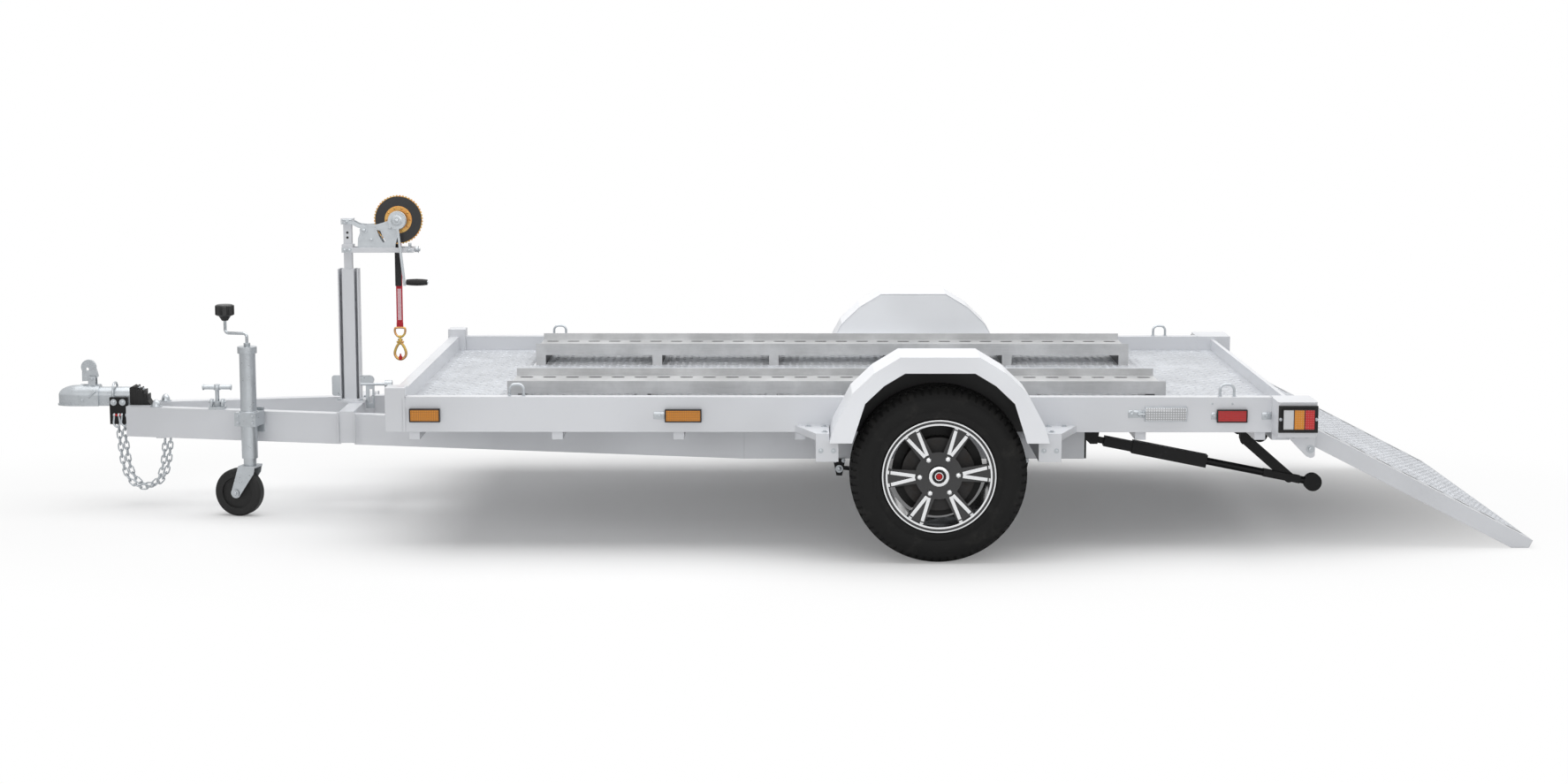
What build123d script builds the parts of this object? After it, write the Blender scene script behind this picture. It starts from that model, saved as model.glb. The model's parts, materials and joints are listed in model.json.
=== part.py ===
from build123d import *
import math
import os

# Lengths are millimetres: X to the rear from the axle, Y to the right side, Z up from the ground
os.makedirs("parts", exist_ok=True)

# Wheels and axle
tyre_radius = 322.0
tyre_width = 200.0
wheel_gap = 49.0
tyre_shoulder = 34.0
rim_radius = 206.0
rim_seat_radius = 194.0
rim_barrel_wall = 8.0
rim_lip = 9.0
spoke_count = 6
spoke_turn = 3.0
spoke_root_radius = 86.0
spoke_root_spread = 3.2
spoke_end_spread = 7.4
spoke_width = 12.5
spoke_face_inset = 12.0
spoke_face_depth = 26.0
spoke_groove_radius = 178.0
spoke_groove = 4.5
groove_depth = 4.0
web_inset = 8.0
web_root_spread = 15.0
web_end_spread = 10.5
bolt_circle = 139.7
nut_count = 6
nut_radius = 9.5
hub_radius = 70.0
hub_spigot_radius = 30.0
hub_cap_radius = 37.0
hub_cap_inset = 4.0
hub_drum_radius = 134.0
hub_drum_depth = 58.0
hub_wall = 22.0
bearing_gap = 0.3
axle_beam_side = 44.0
axle_gap = 8.0
drop_plate_thickness = 30.0
spindle_radius = 24.0
spindle_root_inset = 58.0
spindle_end_inset = 62.0

# Tray
tray_half_width = 963.0
rail_thickness = 50.0
rail_height = 130.0
rail_top = 576.0
tray_front = -2030.0
front_post_side = 75.0
front_post_rise = 35.0
front_rail_thickness = 40.0
front_rail_setback = 7.0
lamp_box_length = 144.0
lamp_box_reach = 127.0
deck_top = 517.0
deck_thickness = 3.0
deck_rear = 1296.0
side_rail_shortfall = 60.0
side_rail_end = deck_rear - side_rail_shortfall
sill_length = 16.0
sill_top = 563.0

# Chassis and drawbar
beam_width = 50.0
beam_height = 120.0
beam_bottom = 290.0
chassis_outer_y = 620.0
chassis_front = -713.0
chassis_rear = 585.0
bearer_width = 40.0
bearer_positions = (-1930.0, -1400.0, -950.0, -500.0, -60.0, 300.0, 760.0, 1202.0)
nose_x = -3205.0
nose_half_spread = 55.0
cross_tube_front = -2313.0
cross_tube_length = 58.0
cross_tube_bottom = 297.0
cross_tube_height = 125.0
cross_tube_reach = 5.0
anchor_x = -3066.0
anchor_half = 20.0
anchor_thickness = 7.0

# Wheel tracks on the deck
track_inner_y = 390.0
track_outer_y = 760.0
track_front = -1600.0
track_rear = 872.0
track_bottom_z = 560.0
track_height = 48.0
track_base_z = 577.0
track_thickness = 4.0
track_support_width = 40.0
track_support_count = 6
slot_count = 28
slot_length = 52.0
slot_width = 24.0
slot_row_offset = 120.0

# Mudguards and their outriggers
guard_overhang = 18.0
guard_thickness = 3.0
guard_skirt = 58.0
guard_half_outline = ((395.0, 446.0), (382.0, 500.0), (315.0, 625.0), (236.0, 700.0), (142.0, 757.0))
outrigger_inner = 362.0
outrigger_length = 82.0
outrigger_height = 78.0
outrigger_tip_inset = 52.0
step_reach = 74.0
step_thickness = 25.0

# Suspension
hanger_x = 350.0
hanger_length = 44.0
hanger_thickness = 8.0
hanger_reach = 26.0
hanger_gap = 0.3
spring_eye_z = 252.0
spring_width = 50.0
leaf_thickness = 8.0
leaf_count = 3
leaf_shortening = 0.27
spring_eye_radius = 16.0

# Coupling
socket_x = -3458.0
ball_diameter = 50.0
ball_clearance = 0.6
socket_bottom = 406.0
head_centre_x = -3418.0
head_half_width = 40.0
nose_length = 76.0
lip_reach = 4.0
lip_height = 7.0
head_rear = -3325.0
head_axis_z = 447.0
neck_radius = 33.0
saddle_front = -3403.0
saddle_rear = -3325.0
saddle_thickness = 4.0
coupling_rear = -3200.0
bracket_front = -3278.0
bracket_top = 443.0
bracket_bottom = 334.0
bracket_plate = 8.0
bracket_half = 50.0
chain_lug_front = -3262.0
lever_pivot_x = -3355.0
lever_pivot_z = 514.0
lever_half = 7.0
lever_head = (-3369.0, 560.0)
lever_head_radius = 30.0
lever_eye_radius = 10.0
lever_pin_radius = 5.0
lever_hole_radius = 7.0
lever_ear = 5.0
boot_half_width = 32.0
boot_length = 84.0

# Safety chains
chain_wire = 6.0
link_inner_length = 28.5
link_inner_width = 12.5
link_slack = 2.8
chain_y = 24.0
chain_stagger = 12.0
chain_start_x = -3250.0
chain_heading = -88.0

# Jockey wheel
jockey_x = -2675.0
jockey_y = -260.0
jockey_tube_radius = 31.5
jockey_inner_radius = 25.2
slide_gap = 0.3
jockey_tube_bottom = 232.0
jockey_tube_top = 650.0
jockey_cap_height = 26.0
jockey_cap_radius = 38.0
jockey_pivot_z = 390.0
jockey_wheel_radius = 95.0
jockey_wheel_width = 56.0
jockey_trail = 47.0
jockey_rim_radius = 62.0
jockey_rim_recess = 8.0
jockey_axle_boss = 20.0
jockey_axle_radius = 8.0
jockey_collar_half = 27.0
crown_half = 34.0
crown_thickness = 8.0
pin_head_radius = 16.0
pin_head_height = 4.0
crank_turn_z = 727.0
crank_top = 800.0
crank_bend = 14.0
knob_height = 40.0
fork_plate = 6.0
fork_gap = 6.0
jockey_inner_top = 560.0
pivot_pin_radius = 12.0
pivot_pin_depth = 14.0
jockey_plate_half = 38.0
jockey_plate_foot = 40.0
jockey_plug_length = 80.0
jockey_plate_rise = 18.0
jockey_collar_width = 44.0
jockey_collar_back = 40.0
crank_offset = 90.0
crank_rod_radius = 6.0
knob_radius = 36.0

# Winch post, mast and winch
post_x = -2310.0
post_width = 82.0
post_depth = 56.0
post_wall = 5.0
post_top = 959.0
post_foot_plate = 10.0
foot_front = 52.0
foot_rear = 62.0
foot_half = 60.0
post_tube_side = 49.0
mast_side = 32.0
mast_top = 1162.0
mast_bottom = 640.0
mast_travel = 100.0
mast_cap_side = 48.0
mast_cap_height = 24.0
arm_bottom = 1026.0
arm_height = 20.0
arm_front = -2332.0
arm_rear = -2043.0
arm_thickness = 6.0
arm_inner_y = 28.0
arm_collar_height = 32.0
arm_tie_length = 24.0
winch_axis_x = -2105.0
winch_axis_z = 1157.0
winch_plate = 4.0
drum_radius = 22.0
gear_disc_radius = 98.0
gear_disc_depth = 5.0
gear_teeth = 48
gear_tooth_depth = 4.0
cover_disc_radius = 92.0
small_gear_radius = 54.0
small_gear_depth = 2.0
cover_depth = 3.0
drum_half = 19.0
bearing_ring = 9.0
shaft_radius = 8.0
running_gap = 5.0
crank_length = 247.0
crank_offset_x = 27.0
crank_width = 10.0
crank_thickness = 8.0
crank_hub_radius = 35.0
crank_hub_depth = 26.0
grip_length = 84.0
grip_radius = 14.0

# Strap, ring and hook
strap_width = 26.0
strap_thickness = 4.0
strap_sleeve_bottom = 888.0
strap_sleeve_thickness = 7.0
strap_offset = -4.0
strap_bottom = 727.0
ring_radius = 23.0
ring_wire_radius = 4.5
hook_bottom = 588.0
hook_radius = 28.0
hook_tip = 50.0
hook_wire = 11.0
swivel_radius = 8.0

# Ramp
ramp_hinge_setback = 23.0
ramp_hinge_x = deck_rear + sill_length + ramp_hinge_setback
ramp_hinge_z = 472.0
ramp_surface_offset = 14.5
ramp_length = 998.0
ramp_side_gap = 8.0
ramp_depth = 61.0
ramp_side_width = 40.0
ramp_tip_gap = 2.0
ramp_tip_height = 28.0
ramp_eye_radius = 15.0
ramp_pin_radius = 8.0
ramp_pin_reach = 30.0
ramp_cross_count = 4
ramp_cross_width = 40.0
ramp_plate_thickness = 3.0
ramp_slot_count = 9
ramp_slot_length = 62.0
ramp_slot_width = 20.0
ramp_slot_inset = 55.0
hinge_plate_width = 27.0

# Drop legs and struts
leg_pivot = (1202.0, 363.0)
leg_foot = (1372.0, 215.0)
strut_pivot = (622.0, 364.0)
leg_thickness = 12.0
leg_width = 40.0
leg_pin_radius = 8.0
strut_outer_side = 38.0
strut_sleeve_side = 48.0
strut_sleeve_start = 150.0
strut_inner_radius = 14.0
strut_outer_length = 440.0
strut_reach = 92.0
leg_stroke = 145.0
foot_radius = 34.0
foot_width = 24.0
ear_thickness = 6.0
ear_reach = 22.0
ear_tip = 14.0
ear_drop = 18.0
eye_radius = 20.0
cheek_half = 14.0
cheek_back = 96.0
pivot_play = 16.0
stop_plate = 6.0
strut_neck = 46.0
strut_overlap = 110.0

# Tie-down rings
ring_positions = (-1546.0, 1073.0)
ring_half = 26.0
ring_rise = 44.0
ring_wire = 5.0
ring_bend = 20.0

# Clamps on the drawbar
clamp_x = -2824.0
clamp_height = 96.0
clamp_plate = 8.0
clamp_low = 397.0
handle_half = 55.0
handle_radius = 9.0
post_clamp_rear = -2214.0
post_clamp_end = -2142.0
post_clamp_z = 494.0

# Lamps and reflectors
lamp_depth = 12.0
reflector_bottom = 486.0
reflector_height = 43.0
amber_spans = ((-1937.0, -1829.0), (-996.0, -866.0))
red_span = (1035.0, 1142.0)
marker_span = (708.0, 924.0)
marker_height = 56.0
bezel_margin = 1.0
bezel_bottom = 466.0
bezel_height = 98.0
bezel_depth = 14.0
lens_margin = 13.0
lens_depth = 10.0

rail_bottom = rail_top - rail_height
beam_top = beam_bottom + beam_height
rail_inner_y = tray_half_width - rail_thickness
bearer_top = deck_top - deck_thickness
wheel_z = tyre_radius
tyre_inner_y = tray_half_width + wheel_gap
tyre_outer_y = tyre_inner_y + tyre_width
guard_outer_y = tyre_outer_y + guard_overhang
outrigger_tip_y = tyre_outer_y - outrigger_tip_inset
ramp_half_width = rail_inner_y - ramp_side_gap
post_end = tray_front + front_post_side
front_rail_x = tray_front + front_rail_setback
lamp_box_rear = side_rail_end + lamp_box_length
chassis_centre_y = chassis_outer_y - beam_width / 2
coupling_nose = head_centre_x - nose_length - lip_reach
socket_radius = ball_diameter / 2 + ball_clearance
leg_y = chassis_centre_y

ramp_drop = ramp_hinge_z - ramp_tip_gap - ramp_tip_height
ramp_reach = math.hypot(ramp_length, ramp_surface_offset)
ramp_lean = math.degrees(math.atan2(ramp_surface_offset, ramp_length))
ramp_angle = math.degrees(math.asin(ramp_drop / ramp_reach)) + ramp_lean
ramp_tip_x = (
    ramp_hinge_x
    + ramp_length * math.cos(math.radians(ramp_angle))
    + ramp_surface_offset * math.sin(math.radians(ramp_angle))
)
centre_x = (coupling_nose + ramp_tip_x) / 2


def block(x0, x1, y0, y1, z0, z1):
    """A box between two corners."""
    corner = (Align.MIN, Align.MIN, Align.MIN)
    return Pos(x0, y0, z0) * Box(x1 - x0, y1 - y0, z1 - z0, align=corner)


def side_plate(points, y0, y1):
    """An outline of (x, z) points, as thick as from y0 to y1."""
    view = Plane((0, y1, 0), x_dir=(1, 0, 0), z_dir=(0, -1, 0))
    return extrude(view * make_face(Polyline(*points, close=True)), y1 - y0)


def plan_plate(points, z0, z1):
    """An outline of (x, y) points, as thick as from z0 to z1."""
    return extrude(Plane((0, 0, z0)) * make_face(Polyline(*points, close=True)), z1 - z0)


def rod(start, end, radius, bore=0.0):
    """A round bar or pipe from one point to another."""
    axis = Vector(*end) - Vector(*start)
    ring = Circle(radius)
    if bore > 0:
        ring -= Circle(bore)
    return extrude(Plane(start, z_dir=axis) * ring, axis.length)


def across(x, z, y0, y1, radius, bore=0.0):
    """A round bar or pipe that lies along Y."""
    return rod((x, y0, z), (x, y1, z), radius, bore)


def bent_rod(points, radius, bend):
    """A round bar bent through a row of points."""
    path = FilletPolyline(*points, radius=bend)
    return sweep(Plane(path @ 0, z_dir=path % 0) * Circle(radius), path)


def mirrored(shape):
    """The same piece on the other side of the trailer."""
    return mirror(shape, about=Plane.XZ)


def both(shape):
    """A left piece and its mirror image."""
    return [shape, mirrored(shape)]


def save(name, *pieces):
    """Write one node, moved so that the middle of the trailer is at the origin."""
    solids = []
    for piece in pieces:
        solids.extend(piece.solids() if hasattr(piece, "solids") else piece)
    shift = Location((-centre_x, 0, 0))
    moved = [solid.moved(shift) for solid in solids]
    shape = moved[0] if len(moved) == 1 else Compound(children=moved)
    export_step(shape, os.path.join("parts", name + ".step"))


# Tray frame
left_rail = block(post_end, side_rail_end, -tray_half_width, -rail_inner_y, rail_bottom, rail_top)
save("side_rails", *both(left_rail))

post_inner_y = tray_half_width - front_post_side
post = block(tray_front, post_end, -tray_half_width, -post_inner_y, rail_bottom, rail_top + front_post_rise)
post = fillet(post.edges().group_by(Axis.Z)[-1], 4)
save("front_posts", *both(post))

front_rail = block(
    front_rail_x, front_rail_x + front_rail_thickness, -post_inner_y, post_inner_y, rail_bottom, rail_top
)
save("front_rail", front_rail)

lamp_box_outer_y = tray_half_width + lamp_box_reach
lamp_box = block(side_rail_end, lamp_box_rear, -lamp_box_outer_y, -rail_inner_y, rail_bottom, rail_top)
lamp_box = fillet(lamp_box.edges().filter_by(Axis.Z).sort_by(Axis.Y)[:2], 10)
save("lamp_boxes", *both(lamp_box))

deck = block(
    front_rail_x + front_rail_thickness, deck_rear, -rail_inner_y, rail_inner_y, bearer_top, deck_top
)
for corner_post in both(post):
    deck -= corner_post
save("deck_plate", deck)

bearers = [
    block(x - bearer_width / 2, x + bearer_width / 2, -rail_inner_y, rail_inner_y, beam_top, bearer_top)
    for x in bearer_positions
]
rear_rail = block(deck_rear - beam_width, deck_rear, -rail_inner_y, rail_inner_y, beam_top, bearer_top)
sill = block(deck_rear, deck_rear + sill_length, -rail_inner_y, rail_inner_y, beam_top, sill_top)
save("cross_members", *bearers, rear_rail + sill)

# Chassis beams and the A-shaped drawbar
chassis_beam = block(
    chassis_front, chassis_rear, -chassis_outer_y, -chassis_outer_y + beam_width, beam_bottom, beam_top
)
save("chassis_beams", *both(chassis_beam))

drawbar_slope = (chassis_centre_y - nose_half_spread) / (chassis_front - nose_x)
drawbar_turn = math.degrees(math.atan(drawbar_slope))
half_cut = beam_width / 2 / math.cos(math.radians(drawbar_turn))


def drawbar_y(x):
    """Distance of a drawbar beam's centre line from the middle at x."""
    return nose_half_spread + drawbar_slope * (x - nose_x)


cross_tube_rear = cross_tube_front + cross_tube_length
cross_tube_tip = drawbar_y(cross_tube_rear) + half_cut + cross_tube_reach
cross_tube_top = cross_tube_bottom + cross_tube_height
cross_tube = block(
    cross_tube_front, cross_tube_rear, -cross_tube_tip, cross_tube_tip, cross_tube_bottom, cross_tube_top
)
save("drawbar_cross_tube", cross_tube)

drawbar_outline = (
    (nose_x, -nose_half_spread + half_cut),
    (chassis_front, -chassis_centre_y + half_cut),
    (chassis_front, -chassis_centre_y - half_cut),
    (nose_x, -nose_half_spread - half_cut),
)
cross_tube_slot = block(
    cross_tube_front, cross_tube_rear, -cross_tube_tip, cross_tube_tip, 0, cross_tube_top
)
drawbar_beam = plan_plate(drawbar_outline, beam_bottom, beam_top) - cross_tube_slot
anchor_tip = drawbar_y(anchor_x)
chain_anchor = block(
    anchor_x - anchor_half,
    anchor_x + anchor_half,
    -anchor_tip,
    anchor_tip,
    beam_bottom - anchor_thickness,
    beam_bottom,
)
save("drawbar_beams", drawbar_beam + mirrored(drawbar_beam) + chain_anchor)


# Raised wheel tracks
def track_slots(row_y):
    """A row of round-ended slots through the base of a track."""
    pitch = (track_rear - track_front) / slot_count
    slots = []
    for i in range(slot_count):
        centre = Pos(track_front + pitch * (i + 0.5), row_y, track_base_z - 1)
        slots.append(centre * extrude(SlotOverall(slot_length, slot_width), track_thickness + 2))
    return slots


def track():
    """One slotted plank that a wheel rolls along, with a flange along each edge."""
    top = track_bottom_z + track_height
    base = block(
        track_front, track_rear, -track_outer_y, -track_inner_y, track_base_z, track_base_z + track_thickness
    )
    flange = block(
        track_front, track_rear, -track_outer_y, -track_outer_y + track_thickness, track_bottom_z, top
    )
    plank = base + flange + Pos(0, track_outer_y - track_inner_y - track_thickness, 0) * flange
    middle = (track_outer_y + track_inner_y) / 2
    rows = track_slots(-middle - slot_row_offset) + track_slots(-middle + slot_row_offset)
    return plank - rows


left_track = track()
support_pitch = (track_rear - track_front - track_support_width) / (track_support_count - 1)
for i in range(track_support_count):
    x = track_front + i * support_pitch
    left_track += block(x, x + track_support_width, -track_outer_y, -track_inner_y, deck_top, track_base_z)
save("wheel_tracks", *both(left_track))


# Mudguards
def outline_inside(points, distance):
    """The guard outline moved inwards by a distance, with its feet at the same height."""
    foot_z = points[0][1]
    face = make_face(Polyline(*points, close=True))
    inner = offset(face, amount=-distance, kind=Kind.INTERSECTION)
    corners = [(v.X, v.Y) for v in inner.vertices()]
    left = sorted([c for c in corners if c[0] < 0], key=lambda c: c[1])
    right = sorted([c for c in corners if c[0] > 0], key=lambda c: -c[1])
    ring = left + right
    first, last = ring[0], ring[-1]
    return [(first[0], foot_z)] + ring[1:-1] + [(last[0], foot_z)]


right_half = list(guard_half_outline)
guard_outline = right_half + [(-x, z) for x, z in reversed(right_half)]
guard_lining = outline_inside(guard_outline, guard_thickness)
guard_opening = outline_inside(guard_outline, guard_skirt)
arch = side_plate(guard_outline, -guard_outer_y, -tray_half_width)
arch -= side_plate(guard_lining, -guard_outer_y + guard_thickness, -tray_half_width + 1)
arch -= side_plate(guard_opening, -guard_outer_y - 1, -guard_outer_y + guard_thickness + 1)
save("mudguards", *both(arch))

# Outriggers under the rails that carry the mudguards
outrigger_bottom = rail_bottom - outrigger_height
outriggers = []
for x0, x1, toward in (
    (-outrigger_inner - outrigger_length, -outrigger_inner, -1),
    (outrigger_inner, outrigger_inner + outrigger_length, 1),
):
    box = block(x0, x1, -outrigger_tip_y, -chassis_outer_y, outrigger_bottom, rail_bottom)
    guard_foot = toward * guard_half_outline[0][0]
    step_tip = toward * (outrigger_inner + outrigger_length)
    step_root = toward * (outrigger_inner + outrigger_length + step_reach)
    outline = (
        (guard_foot, -tray_half_width),
        (step_root, -tray_half_width),
        (step_tip, -outrigger_tip_y),
        (guard_foot, -outrigger_tip_y),
    )
    plate = plan_plate(outline, rail_bottom, rail_bottom + step_thickness)
    outriggers += both(box + plate)
save("outriggers", *outriggers)

# Axle, leaf springs and hangers
axle_half = axle_beam_side / 2
axle_beam_z = beam_bottom - axle_gap - axle_half
spindle_root_y = tray_half_width - spindle_root_inset
axle_low = axle_beam_z - axle_half
axle_high = axle_beam_z + axle_half
axle_bar = block(-axle_half, axle_half, -spindle_root_y, spindle_root_y, axle_low, axle_high)
drop_plate_end = -spindle_root_y + drop_plate_thickness
drop_plate = block(
    -axle_half, axle_half, -spindle_root_y, drop_plate_end, axle_low, wheel_z + spindle_radius + 10
)
spindle = across(0, wheel_z, -tyre_outer_y + spindle_end_inset, -spindle_root_y, spindle_radius)
axle = axle_bar + drop_plate + spindle + mirrored(drop_plate) + mirrored(spindle)
save("axle_beam", axle)

spring_seat_z = axle_beam_z - axle_half


def leaf_spring():
    """Stacked leaves that bow down from two eyes to the axle's seat."""
    inner = -chassis_centre_y + spring_width / 2
    outer = -chassis_centre_y - spring_width / 2
    pack = None
    for i in range(leaf_count):
        reach = hanger_x * (1 - leaf_shortening * i)
        top = spring_seat_z - i * leaf_thickness
        bow = spring_eye_z + leaf_thickness / 2 - spring_seat_z
        tip = top + bow * (reach / hanger_x) ** 2
        upper = ThreePointArc((-reach, tip), (0, top), (reach, tip))
        end = Line((reach, tip), (reach, tip - leaf_thickness))
        lower = ThreePointArc(
            (reach, tip - leaf_thickness), (0, top - leaf_thickness), (-reach, tip - leaf_thickness)
        )
        close = Line((-reach, tip - leaf_thickness), (-reach, tip))
        view = Plane((0, inner, 0), x_dir=(1, 0, 0), z_dir=(0, -1, 0))
        leaf = extrude(view * make_face(Wire([upper, end, lower, close])), inner - outer)
        pack = leaf if pack is None else pack + leaf
    for x in (-hanger_x, hanger_x):
        pack += across(x, spring_eye_z, outer, inner, spring_eye_radius)
    return pack


spring = leaf_spring() - axle_bar
save("leaf_springs", *both(spring))

hangers = []
hanger_half = spring_width / 2 + hanger_gap + hanger_thickness
for x in (-hanger_x, hanger_x):
    outline = (
        (x - hanger_length / 2, beam_bottom - hanger_thickness),
        (x + hanger_length / 2, beam_bottom - hanger_thickness),
        (x + hanger_length / 4, spring_eye_z - hanger_reach),
        (x - hanger_length / 4, spring_eye_z - hanger_reach),
    )
    cheeks = [
        side_plate(outline, y - hanger_thickness / 2, y + hanger_thickness / 2)
        for y in (
            -chassis_centre_y - hanger_half + hanger_thickness / 2,
            -chassis_centre_y + hanger_half - hanger_thickness / 2,
        )
    ]
    top = block(
        x - hanger_length / 2,
        x + hanger_length / 2,
        -chassis_centre_y - hanger_half,
        -chassis_centre_y + hanger_half,
        beam_bottom - hanger_thickness,
        beam_bottom,
    )
    hanger = top + cheeks[0] + cheeks[1]
    hangers += both(hanger)
save("spring_hangers", *hangers)


# Wheels
def tyre():
    """A tyre with rounded shoulders round the Y axis, its outer wall at y = 0."""
    width, radius, shoulder = tyre_width, tyre_radius, tyre_shoulder
    outline = make_face(
        Polyline(
            (rim_seat_radius, 4 + rim_lip),
            (rim_radius, 2 + rim_lip),
            (rim_radius + 10, 0),
            (radius - shoulder, 2),
            (radius - 6, shoulder * 0.6),
            (radius, shoulder),
            (radius, width - shoulder),
            (radius - 6, width - shoulder * 0.6),
            (radius - shoulder, width - 2),
            (rim_radius + 10, width),
            (rim_radius, width - 2 - rim_lip),
            (rim_seat_radius, width - 4 - rim_lip),
            close=True,
        )
    )
    return revolve(Plane.XY * outline, Axis.Y)


def wheel_point(radius, angle):
    """A point on the wheel's face."""
    return Vector(radius, 0).rotate(Axis.Z, angle)


def wheel_strip(start, stop, start_half, stop_half):
    """A flat strip between two points on the wheel's face."""
    along = (stop - start).normalized()
    normal = Vector(-along.Y, along.X)
    corners = [
        start + normal * start_half,
        stop + normal * stop_half,
        stop - normal * stop_half,
        start - normal * start_half,
    ]
    return make_face(Polyline(*[(c.X, c.Y) for c in corners], close=True))


def rim():
    """An alloy rim: barrel, lip and six spokes, each a web with a V-shaped pair of ribs."""
    section = make_face(
        Polyline(
            (rim_radius, 2),
            (rim_radius, 2 + rim_lip),
            (rim_seat_radius, 4 + rim_lip),
            (rim_seat_radius, tyre_width - 4 - rim_lip),
            (rim_radius, tyre_width - 2 - rim_lip),
            (rim_radius, tyre_width - 2),
            (rim_seat_radius - rim_barrel_wall, tyre_width - 2),
            (rim_seat_radius - rim_barrel_wall, 2),
            close=True,
        )
    )
    barrel = revolve(Plane.XY * section, Axis.Y)
    back = spoke_face_inset + spoke_face_depth
    face = Plane((0, back, 0), x_dir=(1, 0, 0), z_dir=(0, -1, 0))
    rib_depth = spoke_face_depth
    web_depth = spoke_face_depth - web_inset
    spokes = extrude(face * Circle(spoke_root_radius), web_depth)
    outer_radius = rim_seat_radius - rim_barrel_wall + 2
    for i in range(spoke_count):
        middle = 360 / spoke_count * i + spoke_turn
        root_half = spoke_root_radius * math.sin(math.radians(web_root_spread))
        end_half = outer_radius * math.sin(math.radians(web_end_spread))
        web = wheel_strip(wheel_point(60, middle), wheel_point(outer_radius, middle), root_half, end_half)
        spokes += extrude(face * web, web_depth)
        for side in (-1, 1):
            start = wheel_point(spoke_root_radius, middle + side * spoke_root_spread)
            stop = wheel_point(outer_radius, middle + side * spoke_end_spread)
            rib = wheel_strip(start, stop, spoke_width / 2, spoke_width / 2)
            spokes += extrude(face * rib, rib_depth)
    groove = Circle(spoke_groove_radius + spoke_groove / 2) - Circle(spoke_groove_radius - spoke_groove / 2)
    front = Plane((0, spoke_face_inset + groove_depth, 0), x_dir=(1, 0, 0), z_dir=(0, -1, 0))
    spokes -= extrude(front * groove, groove_depth + 1)
    for i in range(nut_count):
        nut = wheel_point(bolt_circle / 2, 360 / nut_count * i + spoke_turn)
        spokes += extrude(face * Pos(nut.X, nut.Y) * RegularPolygon(nut_radius, 6), spoke_face_depth - 2)
    spokes -= extrude(face * Circle(hub_spigot_radius), spoke_face_depth)
    return barrel + spokes


left_tyre = Pos(0, -tyre_outer_y, wheel_z) * tyre()
left_rim = Pos(0, -tyre_outer_y, wheel_z) * rim()
hub_inner = -spindle_root_y - running_gap
hub_face = -tyre_outer_y + spoke_face_inset + spoke_face_depth
hub_hollow = hub_face + hub_wall
cap_root = -tyre_outer_y + spoke_face_inset + web_inset
left_hub = across(0, wheel_z, hub_face, hub_inner, hub_radius)
left_hub += across(0, wheel_z, hub_hollow, hub_hollow + hub_drum_depth, hub_drum_radius)
left_hub += across(0, wheel_z, cap_root, hub_face, hub_spigot_radius)
left_hub += across(0, wheel_z, -tyre_outer_y + hub_cap_inset, cap_root, hub_cap_radius)
left_hub -= across(0, wheel_z, hub_hollow, hub_inner + 1, spindle_radius + bearing_gap)
left_hub = fillet(left_hub.edges().filter_by(GeomType.CIRCLE).sort_by(Axis.Y)[0], hub_cap_inset)
save("tyre_left", left_tyre)
save("tyre_right", mirrored(left_tyre))
save("rim_left", left_rim)
save("rim_right", mirrored(left_rim))
save("hub_left", left_hub)
save("hub_right", mirrored(left_hub))

# Coupling and its bracket
bracket = block(
    bracket_front, nose_x, -bracket_half, -bracket_half + bracket_plate, bracket_bottom, bracket_top
)
bracket += mirrored(bracket)
bracket += block(nose_x - bracket_plate, nose_x, -bracket_half, bracket_half, bracket_bottom, beam_top)
bracket += block(bracket_front, nose_x, -bracket_half, bracket_half, beam_top - bracket_plate, beam_top)
bracket += block(
    chain_lug_front, nose_x, -bracket_half, bracket_half, bracket_bottom, bracket_bottom + bracket_plate
)
save("coupling_bracket", bracket)


def head_outline(grow):
    """The coupling head from above, a half ellipse with straight sides behind it."""
    half = head_half_width + grow
    length = head_rear - head_centre_x
    outline = Ellipse(nose_length + grow, half) + Pos(length / 2, 0) * Rectangle(length, 2 * half)
    return Pos(head_centre_x, 0) * outline


quarter = Pos(-nose_length / 2, head_half_width / 2) * Rectangle(nose_length, head_half_width)
dome_half = Ellipse(nose_length, head_half_width) & quarter
dome = Pos(head_centre_x, 0, head_axis_z) * revolve(dome_half, Axis.X)
head = dome + rod((head_centre_x, 0, head_axis_z), (head_rear, 0, head_axis_z), head_half_width)
head += extrude(Plane((0, 0, socket_bottom)) * head_outline(0), head_axis_z - socket_bottom)
head += extrude(Plane((0, 0, socket_bottom)) * head_outline(lip_reach), lip_height)
saddle_radius = head_half_width + saddle_thickness
saddle = rod((saddle_front, 0, head_axis_z), (saddle_rear, 0, head_axis_z), saddle_radius)
saddle += block(saddle_front, saddle_rear, -saddle_radius, saddle_radius, socket_bottom, head_axis_z)
neck = rod((head_rear, 0, head_axis_z), (coupling_rear, 0, head_axis_z), neck_radius)
neck += block(head_rear, bracket_front, -neck_radius, neck_radius, socket_bottom, head_axis_z)
neck += block(bracket_front, coupling_rear, -neck_radius, neck_radius, beam_top, head_axis_z)
body = head + saddle + neck
body -= block(head_centre_x - nose_length, coupling_rear, -saddle_radius, saddle_radius, 0, socket_bottom)
body -= Pos(socket_x, 0, socket_bottom + socket_radius) * Sphere(socket_radius)
body -= rod(
    (socket_x, 0, socket_bottom - 1), (socket_x, 0, socket_bottom + socket_radius), socket_radius
)
ear_start = lever_half + running_gap
ear_end = ear_start + lever_ear
ear_top = lever_pivot_z + 2 * lever_pin_radius
ear = block(lever_pivot_x - 15, lever_pivot_x + 15, ear_start, ear_end, head_axis_z, ear_top)
lever_pin = across(lever_pivot_x, lever_pivot_z, -ear_end, ear_end, lever_pin_radius)
body += ear + mirrored(ear) + lever_pin
save("coupling_body", body)

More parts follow.
